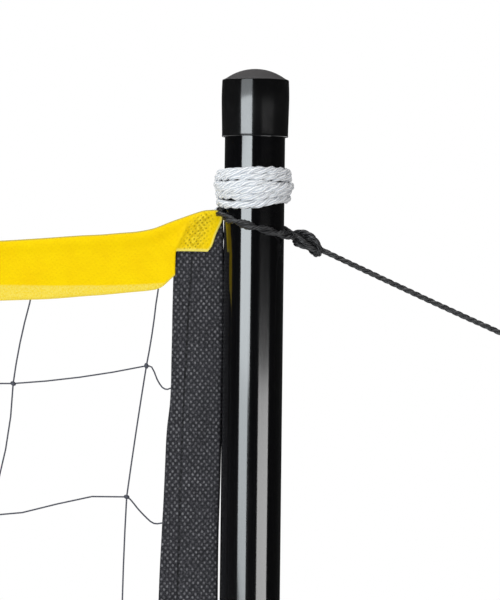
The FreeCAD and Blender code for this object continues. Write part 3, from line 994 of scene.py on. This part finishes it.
def on_tape(side, distance, y, z, depth, front):
    """A long tape's position and cloth coordinates in metres, in front of the net's plane or behind it."""
    x = side * (MIDDLE - distance)
    return Vector((x, -y if front else y, z)) / 1000, (x / 1000, (depth if front else -depth) / 1000)


def hem_at(distance):
    """The height of the front hem, which the lapped end would reach if it weren't cut short."""
    if distance >= LAP_START:
        return read_off(HEM, distance)
    top = read_off(TOP_EDGE, distance)
    return top - (top - LAP_BOTTOM) / LAP_SHARE


def creased(distance, height):
    """How far the creases of the lapped end stand out at a place."""
    out = 0.0
    for (near, low), (far, high), proud, width in CREASES:
        run = Vector((far - near, high - low))
        off = Vector((distance - near, height - low))
        across = (off.x * run.y - off.y * run.x) / run.length
        along = off.dot(run) / run.length_squared
        if -0.15 < along < 1.15:
            fade = min(1.0, (along + 0.15) / 0.3, (1.15 - along) / 0.3)
            out += proud * fade * math.exp(-((across / width) ** 2))
    return out


class NETSET_OT_top_tape(Operator):
    """The yellow tape folded over the head rope, with its lapped ends."""

    bl_idname = "net_set.top_tape"
    bl_label = "Top tape"

    def execute(self, context):
        """Fold the top tape over its rope and lap its ends over the net's corners."""
        lapped = 24
        half = 34
        spots = tape_spots(TAPE_END, LAP_START, lapped, fine_step=1.6)
        columns = 2 * (len(spots) - 1)

        def place(column, row):
            side, start = both_halves(spots, column)
            share = abs(row - half) / half
            front = row >= half
            lap_end = start < LAP_START
            distance = start
            # The distance and the depth hang on each other, so they are found in rounds
            for _ in range(3):
                top = read_off(TOP_EDGE, distance)
                if front or lap_end:
                    hem = hem_at(distance if lap_end else start)
                else:
                    hem = read_off(BACK_HEM, distance)
                depth = (top - hem) * share**1.6
                if start < UPRIGHT_FROM:
                    end = read_off(LAP_END, depth) if front else BACK_END
                    distance = end + (start - TAPE_END) * (UPRIGHT_FROM - end) / (UPRIGHT_FROM - TAPE_END)
            y = fold_reach(depth, radius=4.1, flat=0.95 + 1.45 * eased((76 - distance) / 16))
            grain = Vector((distance / 34, depth / 20, 3.1 * side))
            y += share * (0.75 * noise.noise(grain) + 0.25 * noise.noise(grain * 3.1))
            if front:
                y += creased(distance, top - depth)
            z = top - depth + 0.35 * noise.noise(Vector((distance / 23, 0.3, side)))
            above_back_hem = 60.0
            over_dark = 0.0
            cut_edge = 0.0
            if front and lap_end:
                band = distance + 0.36 * (z - LAP_BOTTOM)
                over_dark = math.exp(-(((band - 46.8) / 7.5) ** 2)) * min(1.0, depth / 5)
                # How near a corner is to the lapped end's cut edge, for the painted highlight along it
                to_bottom = (top - hem_at(distance)) * LAP_SHARE - depth
                to_edge = min(distance - read_off(LAP_END, depth), to_bottom)
                cut_edge = max(0.0, 1.0 - to_edge / 2.1)
            elif front:
                above_back_hem = top - depth - read_off(BACK_HEM, distance)
            return *on_tape(side, distance, y, z, depth, front), (above_back_hem, over_dark, cut_edge)

        def keep(column, row):
            from_end = min(column, columns - column)
            if from_end >= lapped:
                return True
            if row > half:
                return row - half < 0.7 * half
            return (0.4 if from_end < 0.45 * lapped else 0) * half < half - row < 0.85 * half

        marks = ("above_back_hem", "over_dark", "cut_edge")
        mesh = cloth("yellow_top_tape", columns, 2 * half, place, marks, keep)
        add_tape(mesh, "top_tape", "yellow bonded tape")
        return {"FINISHED"}


class NETSET_OT_side_tapes(Operator):
    """The black tapes folded round the net's ends."""

    bl_idname = "net_set.side_tapes"
    bl_label = "Side tapes"

    def execute(self, context):
        """Fold a black tape round each end of the net."""
        length = 130
        half = 16
        to_seam = 9

        def place_for(way):
            def place(column, row):
                z = SIDE_BOTTOM + (SIDE_TOP - SIDE_BOTTOM) * column / length
                step = abs(row - half)
                fold = read_off(SIDE_FOLD, z)
                seam = read_off(SEAM, z)
                if step <= to_seam:
                    across = (seam - 0.5 - fold) * (step / to_seam) ** 1.35
                else:
                    share = (step - to_seam - 1) / (half - to_seam - 1)
                    across = seam + 0.5 - fold + (read_off(SIDE_EDGE, z) - seam - 0.5) * share
                y = fold_reach(across, radius=1.6, flat=1.3)
                if step > to_seam:
                    y -= 0.6
                y += 0.4 * min(1, across / 10) * noise.noise(Vector((across / 16, z / 70, 7.7 * way)))
                distance = fold + across
                distance += 0.35 * min(1, across / 6) * noise.noise(Vector((z / 30, 1.7, step / half)))
                z = min(z, read_off(TOP_EDGE, distance) - ROPE_BELOW_FOLD)
                front = row >= half
                position = by_side([(-distance, -y if front else y, z)], way)[0]
                spot = (0.2 + (across if front else -across) / 1000, z / 1000)
                # The two rows at the seam are marked for the painted shade line there
                return position, spot, (1.0 if step in (to_seam, to_seam + 1) else 0.0,)

            return place

        for side, way in SIDES:
            mesh = cloth(f"black_side_tape_{side}", length, 2 * half, place_for(way), ("seam",))
            add_tape(
                mesh, f"side_tape_{side}", "black bonded tape"
            )
        return {"FINISHED"}


class NETSET_OT_bottom_tape(Operator):
    """The black tape folded round the foot rope."""

    bl_idname = "net_set.bottom_tape"
    bl_label = "Bottom tape"

    def execute(self, context):
        """Fold the bottom tape round its rope."""
        half = 14
        spots = tape_spots(24.3, 76, 14, fine_step=4.0)

        def place(column, row):
            side, distance = both_halves(spots, column)
            share = abs(row - half) / half
            front = row >= half
            depth = (50.0 if front else 44.0) * share**1.5
            y = fold_reach(depth, radius=2.75, flat=0.95 + 1.2 * clamped((84 - distance) / 14))
            y += share * 0.7 * noise.noise(Vector((distance / 40, depth / 20, 5.3 * side)))
            z = NET_BOTTOM + 0.4 + depth
            z += 0.5 * noise.noise(Vector((distance / 60, 2.2, side + share)))
            return *on_tape(side, distance, y, z, depth, front), ()

        mesh = cloth("black_bottom_tape", 2 * (len(spots) - 1), 2 * half, place)
        add_tape(mesh, "bottom_tape", "black bonded tape")
        return {"FINISHED"}


# Net, in millimetres, and half the size of its knots in metres

KNOT_HALF_SIZE = (0.0023, 0.0016, 0.0017)
KNOT_HEIGHTS = [2192.0, 2130.0, 2030.0, 1930.0, 1830.0, 1731.0]

# For each line of knots, how far the last one is drawn inwards and lifted

KNOT_PULLS = [(-1.8, 0), (4.8, 16), (18.4, 18), (21, 14), (12, 7), (0, 0)]

# Further shifts of knots, by their column from the end and their line

KNOT_SHIFTS = {(1, 1): (0, -1.6), (1, 2): (6.5, -0.8)}

# Bows and leans of the twine, by its column from the end and its line

BOWS_DOWN = {(1, 0): (1.1, 0), (0, 1): (0.3, 0), (1, 1): (-3.9, 0)}
BOWS_ACROSS = {(0, 1): (-1.9, 0), (0, 2): (1.7, 2.5)}

# The slack ends beyond the last knots, on the first line and on the others

FIRST_SLACK = [(0, 0), (4.5, -1.5), (8.3, -10.4), (12.1, -16.0), (15.9, -17.4), (18.9, -16.2), (28, -15.0)]
OTHER_SLACK = [
    (0, 0), (3.4, -2.4), (6.6, -6.6), (14.2, -14.7), (19.4, -19.1), (23.4, -19.8), (26.9, -19.1), (36, -18.6),
]
SLACK_STEPS = 14


def bowed(a, b, seed, way, form):
    """Twine from one knot to the next, without its start, bowed by noise or by a form's bow and lean.

    The way is 1 for twine that bows along the net and 0 for twine that bows up and down."""
    drift = noise.noise_vector(seed) * 2.2
    lean = 0
    if form:
        drift = Vector((form[0], 0, form[0]))
        lean = form[1]
    drift = Vector((drift.x * way, 0.5 * drift.y, drift.z * (1 - way)))
    places = []
    for share in (0.25, 0.5, 0.75, 1.0):
        place = a.lerp(b, share) + drift * 4 * share * (1 - share)
        place.z += lean * math.sin(2 * math.pi * share)
        places.append(place)
    return places


class NETSET_OT_net(Operator):
    """The knotted square mesh of dark twine."""

    bl_idname = "net_set.net"
    bl_label = "Net"

    def execute(self, context):
        """Knot the mesh, drawn a little out of square near its ends."""
        settings = context.scene.net_set_net
        pitch = settings.pitch * 1000
        columns = settings.columns
        rows = settings.rows

        def knot(column, line):
            from_end = min(column, columns - column)
            side = 1 if column > columns / 2 else -1
            pull, rise = KNOT_PULLS[line]
            shift, lift = KNOT_SHIFTS.get((from_end, line), (0, 0))
            if line == 0:
                pull *= 1 + 4.0 * min(from_end, 1)
            fade = math.exp(-from_end / 6) if column != columns / 2 else 0
            grain = noise.noise_vector(Vector((column * 0.71, line * 1.37, 4.4)))
            settle = 0 if from_end < 2 else 3.5
            x = pitch * (column - columns / 2) - side * (pull * fade + shift) + settle * grain.x
            z = KNOT_HEIGHTS[line] + rise * math.exp(-from_end * 1.6) + lift
            if 0 < line < rows + 1:
                z += settle * 0.8 * grain.z
            return Vector((x, 0.6 * grain.y, z))

        def twine_down(column):
            chain = [knot(column, line) for line in range(rows + 2)]
            run = [chain[0].lerp(chain[1], -0.25), chain[0]]
            for line, (a, b) in enumerate(zip(chain, chain[1:])):
                form = BOWS_DOWN.get((min(column, columns - column), line))
                if form and column > columns / 2:
                    form = (-form[0], form[1])
                run += bowed(a, b, Vector((column * 1.9, line * 2.3, 0.7)), 1, form)
            return run + [chain[-1].lerp(chain[-2], -0.11)]

        def twine_across(line):
            chain = [knot(column, line) for column in range(columns + 1)]
            run = [chain[0]]
            for column, (a, b) in enumerate(zip(chain, chain[1:])):
                form = BOWS_ACROSS.get((min(column, columns - 1 - column), line))
                if form and column > columns / 2:
                    form = (form[0], -form[1])
                run += bowed(a, b, Vector((column * 2.7, line * 3.1, 9.3)), 0, form)
            slack = FIRST_SLACK if line == 1 else OTHER_SLACK
            reaches = [slack[-1][0] * step / SLACK_STEPS for step in range(1, SLACK_STEPS + 1)]
            falls = [(reach, read_off(slack, reach)) for reach in reaches]
            left = [chain[0] + Vector((-x, 0, z)) for x, z in reversed(falls)]
            right = [chain[-1] + Vector((x, 0, z)) for x, z in falls]
            return left + run + right

        lines = [twine_down(column) for column in range(columns + 1)]
        lines += [twine_across(line) for line in range(1, rows + 1)]
        lines = [[place / 1000 for place in line] for line in lines]
        work = gathered([tube_mesh("twine", lines, settings.twine / 2)])
        for line in range(1, rows + 1):
            for column in range(columns + 1):
                turn = noise.noise(Vector((column * 3.3, line * 5.1, 0.2)))
                middle = Matrix.Translation(knot(column, line) / 1000)
                tilt = Matrix.Rotation(0.8 + turn, 4, "Y")
                shape = Matrix.Diagonal((*KNOT_HALF_SIZE, 1))
                bmesh.ops.create_uvsphere(
                    work, u_segments=8, v_segments=5, radius=1.0, matrix=middle @ tilt @ shape
                )
        add_piece(smooth_mesh("knotted_net", work), "net_mesh", "dark twine")
        return {"FINISHED"}


# Poles and clamps, in metres

EDGE = 0.0003
CAP_SIDE = [
    (0.0016, -0.22), (0.004, -0.17), (0.009, -0.06), (0.014, 0.06), (0.019, 0.18), (0.024, 0.30),
    (0.028, 0.37), (0.0315, 0.36), (0.0345, 0.29), (0.0375, 0.19), (0.0402, 0.08),
]
FOOT_TOP = 0.062
FOOT_FLOOR = 0.010
COLLAR_BOTTOM = 1.270
COLLAR_TOP = 0.062
COLLAR_STEP = 0.030
COLLAR_WALL = 0.006
WING_REACH = 0.017
WING_END = 0.008
HUB_HALF = 0.004
HUB_TALL = 0.011


def rounded(outline, corners, steps=4):
    """An outline with the numbered corners rounded to their radii.

    A place beside each rounded corner keeps the long sides next to it flat."""
    places = []
    for index, place in enumerate(outline):
        radius = corners.get(index)
        here = Vector(place)
        if not radius:
            places.append(tuple(here))
            continue
        to_last = Vector(outline[index - 1]) - here
        to_next = Vector(outline[(index + 1) % len(outline)]) - here
        before = to_last.normalized()
        after = to_next.normalized()
        half = before.angle(after) / 2
        reach = radius / math.tan(half)
        centre = here + (before + after).normalized() * radius / math.sin(half)
        first = here + before * reach - centre
        last = here + after * reach - centre
        turn = math.pi - 2 * half
        if to_last.length > 6 * reach:
            places.append(tuple(here + before * reach * 2.5))
        for step in range(steps + 1):
            share = step / steps
            spoke = first * math.sin((1 - share) * turn) + last * math.sin(share * turn)
            places.append(tuple(centre + spoke / math.sin(turn)))
        if to_next.length > 6 * reach:
            places.append(tuple(here + after * reach * 2.5))
    return places


def prism(ring, start, thickness, rounding, segments):
    """A bar on the clamp's axis from a ring of (y, z) points, with rounded edges."""
    work = bmesh.new()
    verts = [work.verts.new((POLE_X + start, y, CLAMP_HEIGHT + z)) for y, z in ring]
    moved = new_verts(bmesh.ops.extrude_face_region(work, geom=[work.faces.new(verts)]))
    bmesh.ops.translate(work, verts=moved, vec=(thickness, 0, 0))
    bmesh.ops.recalc_face_normals(work, faces=work.faces)
    near, far = set(verts), set(moved)
    rims = [edge for edge in work.edges if near.issuperset(edge.verts) or far.issuperset(edge.verts)]
    bmesh.ops.bevel(
        work, geom=rims, offset=rounding, segments=segments, profile=0.5, affect="EDGES", material=-1,
        clamp_overlap=True,
    )
    return work


def eight_sided(half, flat):
    """A square with its corners cut, as (y, z) points."""
    return [
        (half, -flat), (half, flat), (flat, half), (-flat, half),
        (-half, flat), (-half, -flat), (-flat, -half), (flat, -half),
    ]


def wing_ring():
    """The outline of the wing knob as (y, z) points: two round ends, four necks and a hub."""
    angles = [math.radians(angle) for angle in range(-90, 91, 15)]
    wing = [(WING_REACH + WING_END * math.cos(a), WING_END * math.sin(a)) for a in angles]
    neck = []
    for index in range(1, 7):
        share = index / 7
        neck.append((
            WING_REACH - (WING_REACH - HUB_HALF) * share, WING_END + (HUB_TALL - WING_END) * share**0.8
        ))
    upper = neck + [(HUB_HALF, HUB_TALL), (-HUB_HALF, HUB_TALL)] + [(-y, z) for y, z in reversed(neck)]
    return wing + upper + [(-y, -z) for y, z in wing + upper]


def carved(work, steps):
    """A shape joined to or cut by others, in the order of the (operation, shape) steps."""
    shapes = [work] + [shape for operation, shape in steps]
    items = [linked("carving", plain_mesh("carving", shape)) for shape in shapes]
    for (operation, shape), tool in zip(steps, items[1:]):
        cut = items[0].modifiers.new(operation, "BOOLEAN")
        cut.operation = operation
        cut.solver = "EXACT"
        cut.object = tool
    depsgraph = bpy.context.evaluated_depsgraph_get()
    finished = bpy.data.meshes.new_from_object(items[0].evaluated_get(depsgraph))
    for item in items:
        bpy.data.meshes.remove(item.data)
    return gathered([finished])


class NETSET_OT_poles(Operator):
    """The upper and lower tubes."""

    bl_idname = "net_set.poles"
    bl_label = "Poles"

    def execute(self, context):
        """Spin the four painted tubes."""
        for side, way in SIDES:
            for kind, low, high, radius, body in (
                ("upper", upper_low, upper_high, POLE_RADIUS, MOVING),
                ("lower", lower_low, lower_high, LOWER_RADIUS, STANDING),
            ):
                tall = high.z - low.z
                bore = radius - TUBE_WALL
                outline = [(bore, 0), (radius, 0), (radius, tall), (bore, tall)]
                outline = rounded(outline, dict.fromkeys(range(4), EDGE), 3)
                work = spun(outline, Vector((way * POLE_X, 0, low.z)))
                mesh = smooth_mesh(f"{kind}_pole_{side}", work, 40)
                add_piece(mesh, f"{kind}_tube_{side}", "gloss black paint", body=body)
        return {"FINISHED"}


class NETSET_OT_pole_caps(Operator):
    """The moulded caps with their low domes."""

    bl_idname = "net_set.pole_caps"
    bl_label = "Pole caps"

    def execute(self, context):
        """Spin the two caps, glossy round the side and matt on the dome."""
        low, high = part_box("pole_caps")
        radius = high.x - POLE_X
        bore = POLE_RADIUS + 0.00005
        tall = high.z - low.z
        dome = 0.0085
        shoulder = tall - dome + 0.0004
        rim = 0.0009
        crown = 0.035
        dome_radius = radius - 0.0012
        arch = (dome_radius**2 + dome**2) / (2 * dome)
        outline = [
            (0.0, crown), (bore, crown), (bore, 0.0), (radius - 0.0005, 0.0), (radius - 0.0001, 0.0003),
            (radius - 0.0001, 0.0008), (radius - 0.00022, 0.0012),
        ]
        outline += [(radius + out / 1000, height) for height, out in CAP_SIDE]
        for step in range(7):
            angle = math.radians(15 * step)
            outline.append((radius - rim * (1 - math.cos(angle)), shoulder - rim + rim * math.sin(angle)))
        for step in range(1, 13):
            reach = dome_radius * (1 - step / 12)
            outline.append((reach, tall - arch + math.sqrt(arch**2 - reach**2)))
        work = spun(outline, Vector((POLE_X, 0, low.z)), closed=False)
        for face in work.faces:
            middle = face.calc_center_median()
            inside = math.hypot(middle.x - POLE_X, middle.y) < radius - 0.0001
            face.material_index = int(inside and middle.z > low.z + shoulder - 0.0006)
        to_sides(work)
        mesh = smooth_mesh("domed_caps", work, 30)
        add_piece(mesh, "pole_caps", "glossy cap plastic", "matt cap plastic")
        return {"FINISHED"}


class NETSET_OT_feet(Operator):
    """The rubber feet with their wide flanges."""

    bl_idname = "net_set.feet"
    bl_label = "Feet"

    def execute(self, context):
        """Spin the two feet with grip rings round the hub."""
        flange = LOWER_RADIUS + 0.0196
        hub = LOWER_RADIUS + 0.006
        outline = [(0, 0), (flange, 0), (flange, 0.008), (hub, 0.016)]
        for ring in range(4):
            height = 0.026 + 0.009 * ring
            for inward, up in ((0, 0), (0.0012, 0.001), (0.0012, 0.003), (0, 0.004)):
                outline.append((hub - inward, height + up))
        corners = {1: 0.0015, 2: 0.003, 3: 0.005, len(outline): 0.002}
        outline += [(hub, FOOT_TOP), (LOWER_RADIUS, FOOT_TOP), (LOWER_RADIUS, FOOT_FLOOR), (0, FOOT_FLOOR)]
        work = spun(rounded(outline, corners), Vector((POLE_X, 0, 0)), closed=False)
        to_sides(work)
        add_piece(smooth_mesh("rubber_feet", work, 35), "feet", "black foot rubber", body=STANDING)
        return {"FINISHED"}


class NETSET_OT_clamps(Operator):
    """The collars on the lower tubes and the wing knobs."""

    bl_idname = "net_set.clamps"
    bl_label = "Clamps"

    def execute(self, context):
        """Build each collar with its boss, pocket and screw hole, and each wing knob."""
        seat = LOWER_RADIUS + 0.00005
        radius = LOWER_RADIUS + COLLAR_WALL
        bore = POLE_RADIUS + 0.0003
        outline = [
            (seat, 0), (radius, 0), (radius, COLLAR_TOP), (bore, COLLAR_TOP), (bore, COLLAR_STEP),
            (seat, COLLAR_STEP),
        ]
        outline = rounded(outline, {1: 0.0015, 2: 0.0018, 3: 0.0008})
        boss = prism(
            eight_sided(half=0.012, flat=0.007), start=radius - 0.004, thickness=0.0176, rounding=0.0012,
            segments=3,
        )
        pocket = prism(
            eight_sided(half=0.0073, flat=0.0058), start=bore - 0.004, thickness=0.0123, rounding=0.0002,
            segments=1,
        )
        across = Matrix.Rotation(math.pi / 2, 4, "Y")
        hole = bmesh.new()
        bmesh.ops.create_cone(
            hole, cap_ends=True, segments=48, radius1=0.0042, radius2=0.0042, depth=0.03,
            matrix=Matrix.Translation((POLE_X + 0.04, 0, CLAMP_HEIGHT)) @ across,
        )
        work = carved(
            spun(outline, Vector((POLE_X, 0, COLLAR_BOTTOM))),
            [("UNION", boss), ("DIFFERENCE", pocket), ("DIFFERENCE", hole)],
        )
        to_sides(work)
        mesh = smooth_mesh("moulded_collars", work, 35)
        add_piece(mesh, "clamp_collars", "moulded clamp plastic", body=STANDING)
        for side, way in SIDES:
            knob = f"clamp_knob_{side}"
            work = prism(wing_ring(), start=0.0455, thickness=0.014, rounding=0.0022, segments=4)
            if way < 0:
                half_turn(work, work.verts)
            mesh = smooth_mesh(f"wing_knob_{side}", work, 45)
            add_piece(mesh, knob, "moulded clamp plastic", body=knob)
        return {"FINISHED"}


def frame_node(name):
    """The object that holds a CAD node."""
    for item in bpy.data.objects:
        if item.name == name or item.get("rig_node") == name:
            return item
    raise RuntimeError(f"there is no object for {name}")


class NETSET_OT_inner_parts(Operator):
    """The finishes of the small parts inside the clamps and the tubes."""

    bl_idname = "net_set.inner_parts"
    bl_label = "Bushes, pads and screws"

    def execute(self, context):
        """Give the bushes, pads and screws their finishes."""
        for node, finish in (
            ("guide_bushes", "grey slide plastic"),
            ("clamp_pad_left", "grey slide plastic"),
            ("clamp_pad_right", "grey slide plastic"),
            ("clamp_screw_left", "zinc plated steel"),
            ("clamp_screw_right", "zinc plated steel"),
        ):
            materials = frame_node(node).data.materials
            materials.clear()
            materials.append(bpy.data.materials[finish])
        return {"FINISHED"}


class NETSET_OT_finishes(Operator):
    """The materials of every piece."""

    bl_idname = "net_set.finishes"
    bl_label = "Finishes"

    def execute(self, context):
        """Make the finishes that the pieces share."""
        ropes = context.scene.net_set_ropes
        plastic = context.scene.net_set_poles.plastic
        painted_steel()
        gloss = {"Specular_IOR_Level": 0.2, "Coat_Weight": 0.84, "Coat_Roughness": 0.09}
        for name, colour, roughness, grain_size, depth, inputs in (
            ("glossy cap plastic", plastic, 0.15, 260, 0.00002, gloss),
            ("matt cap plastic", (0.025, 0.0225, 0.023), 0.8, 700, 0.00008, {}),
            ("moulded clamp plastic", (0.014, 0.014, 0.014), 0.42, 900, 0.00006, {}),
            ("grey slide plastic", (0.42, 0.42, 0.42), 0.4, 400, 0.00004, {}),
            ("black foot rubber", (0.012, 0.012, 0.012), 0.68, 500, 0.00010, {}),
        ):
            moulded_plastic(name, colour, roughness, grain_size, depth, **inputs)
        brushed_zinc()
        # The shade colours of the ropes are painted shade in the grooves between their yarns
        rope_fibre(
            "white rope fibre", ropes.white, shade=(0.56, 0.59, 0.64), yarns=5, yarn_lay=0.020,
            roughness=0.6, depth=0.0005, gap=-0.9,
        )
        rope_fibre(
            "black rope fibre", ropes.black, shade=(0.002, 0.002, 0.0025), yarns=4, yarn_lay=0.013,
            roughness=0.36, depth=0.0005, gap=-0.25,
        )
        black_tape_cloth()
        yellow_tape_cloth()
        net_twine_fibre()
        floor_finish()
        new_material("dark screen cloth", (0.03, 0.03, 0.03), 0.9)
        return {"FINISHED"}


# Studio, in metres

FLOOR_FADE_START = 3.3
FLOOR_FADE_END = 6.4
COOL = (0.90, 0.965, 1.0)
PLAIN = (1.0, 1.0, 1.0)


class NETSET_OT_studio(Operator):
    """The pale floor, the soft lights and the white surround."""

    bl_idname = "net_set.studio"
    bl_label = "Studio"

    def lamp(self, name, power, size, place, target, colour):
        light = bpy.data.lights.new(name, "AREA")
        light.color = colour
        light.shape = "RECTANGLE"
        light.size, light.size_y = size
        light.energy = power
        holder = on_stage(name, light)
        holder.location = place
        holder.rotation_mode = "QUATERNION"
        holder.rotation_quaternion = (Vector(target) - Vector(place)).to_track_quat("-Z", "Y")
        holder.visible_camera = False

    def backdrop(self, name, work, finish):
        mesh = plain_mesh(name, work)
        mesh.materials.append(bpy.data.materials[finish])
        return on_stage(name, mesh)

    def execute(self, context):
        """Lay the floor, hang the screen and the lights and set the surround.

        The screen is dark cloth round the studio, which only the gloss of the poles sees."""
        settings = context.scene.net_set_studio
        work = bmesh.new()
        bmesh.ops.create_circle(work, cap_ends=True, segments=96, radius=20.0)
        self.backdrop("studio_floor", work, "pale floor")
        work = bmesh.new()
        bmesh.ops.create_cone(
            work, cap_ends=False, segments=64, radius1=13.0, radius2=13.0, depth=16.0,
            matrix=Matrix.Translation((0, 0, 8.0)),
        )
        screen = self.backdrop("dark_screen", work, "dark screen cloth")
        for rays in ("camera", "diffuse", "transmission", "shadow"):
            setattr(screen, f"visible_{rays}", False)
        main = settings.main_light
        for lamp in (
            ("main light", main, (6.98, 0.9), (-2.38, -7.0, 2.4), (-2.38, 0, 2.4), COOL),
            ("upper light", main * 0.6, (6.98, 1.8), (-2.38, -7.0, 3.75), (-2.38, 0, 3.75), COOL),
            ("lower light", main * 0.61, (6.18, 0.85), (-2.78, -7.0, 1.525), (-2.78, 0, 1.525), COOL),
            ("low light", settings.low_light, (6.7, 1.25), (8.74, -6.47, 1.295), (POLE_X, 0, 1.295), PLAIN),
            ("top light", 280.0, (8.0, 6.0), (0, 0, 7.0), (0, 0.001, 0), PLAIN),
        ):
            self.lamp(*lamp)
        world = bpy.data.worlds.new("pale surround")
        context.scene.world = world
        world.use_nodes = True
        tree = world.node_tree
        surround = tree.nodes["Background"]
        feed(tree, surround, Strength=spread(tree, seen_rays(tree), settings.fill, 1.0))
        surround.inputs["Color"].default_value = (1, 1, 1, 1)
        context.scene.view_settings.view_transform = "Standard"
        return {"FINISHED"}


STEPS = (
    NETSET_OT_camera,
    NETSET_OT_finishes,
    NETSET_OT_guy_ropes,
    NETSET_OT_guy_hitches,
    NETSET_OT_lashings,
    NETSET_OT_net_ropes,
    NETSET_OT_net,
    NETSET_OT_top_tape,
    NETSET_OT_side_tapes,
    NETSET_OT_bottom_tape,
    NETSET_OT_poles,
    NETSET_OT_pole_caps,
    NETSET_OT_feet,
    NETSET_OT_clamps,
    NETSET_OT_inner_parts,
    NETSET_OT_studio,
)


class NETSET_PT_sidebar(Panel):
    """The settings and the steps in the sidebar."""

    bl_idname = "NETSET_PT_sidebar"
    bl_label = "Volleyball net"
    bl_space_type = "VIEW_3D"
    bl_region_type = "UI"
    bl_category = "Net"

    def draw(self, context):
        """List the settings, and a button for each step."""
        for name, group in SETTINGS.items():
            box = self.layout.box()
            for setting in group.__annotations__:
                box.prop(getattr(context.scene, name), setting)
        for step in STEPS:
            self.layout.operator(step.bl_idname)


def register():
    # Vector noise starts from the clock when it has no seed, and the ropes and the net use it
    noise.seed_set(NOISE_SEED)
    for name, group in SETTINGS.items():
        bpy.utils.register_class(group)
        setattr(bpy.types.Scene, name, PointerProperty(type=group))
    for step in STEPS:
        bpy.utils.register_class(step)
    bpy.utils.register_class(NETSET_PT_sidebar)


def unregister():
    bpy.utils.unregister_class(NETSET_PT_sidebar)
    for step in reversed(STEPS):
        bpy.utils.unregister_class(step)
    for name, group in SETTINGS.items():
        delattr(bpy.types.Scene, name)
        bpy.utils.unregister_class(group)


def main():
    register()
    for step in STEPS:
        getattr(bpy.ops.net_set, step.bl_idname.split(".")[1])()
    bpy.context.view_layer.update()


if __name__ == "__main__":
    main()
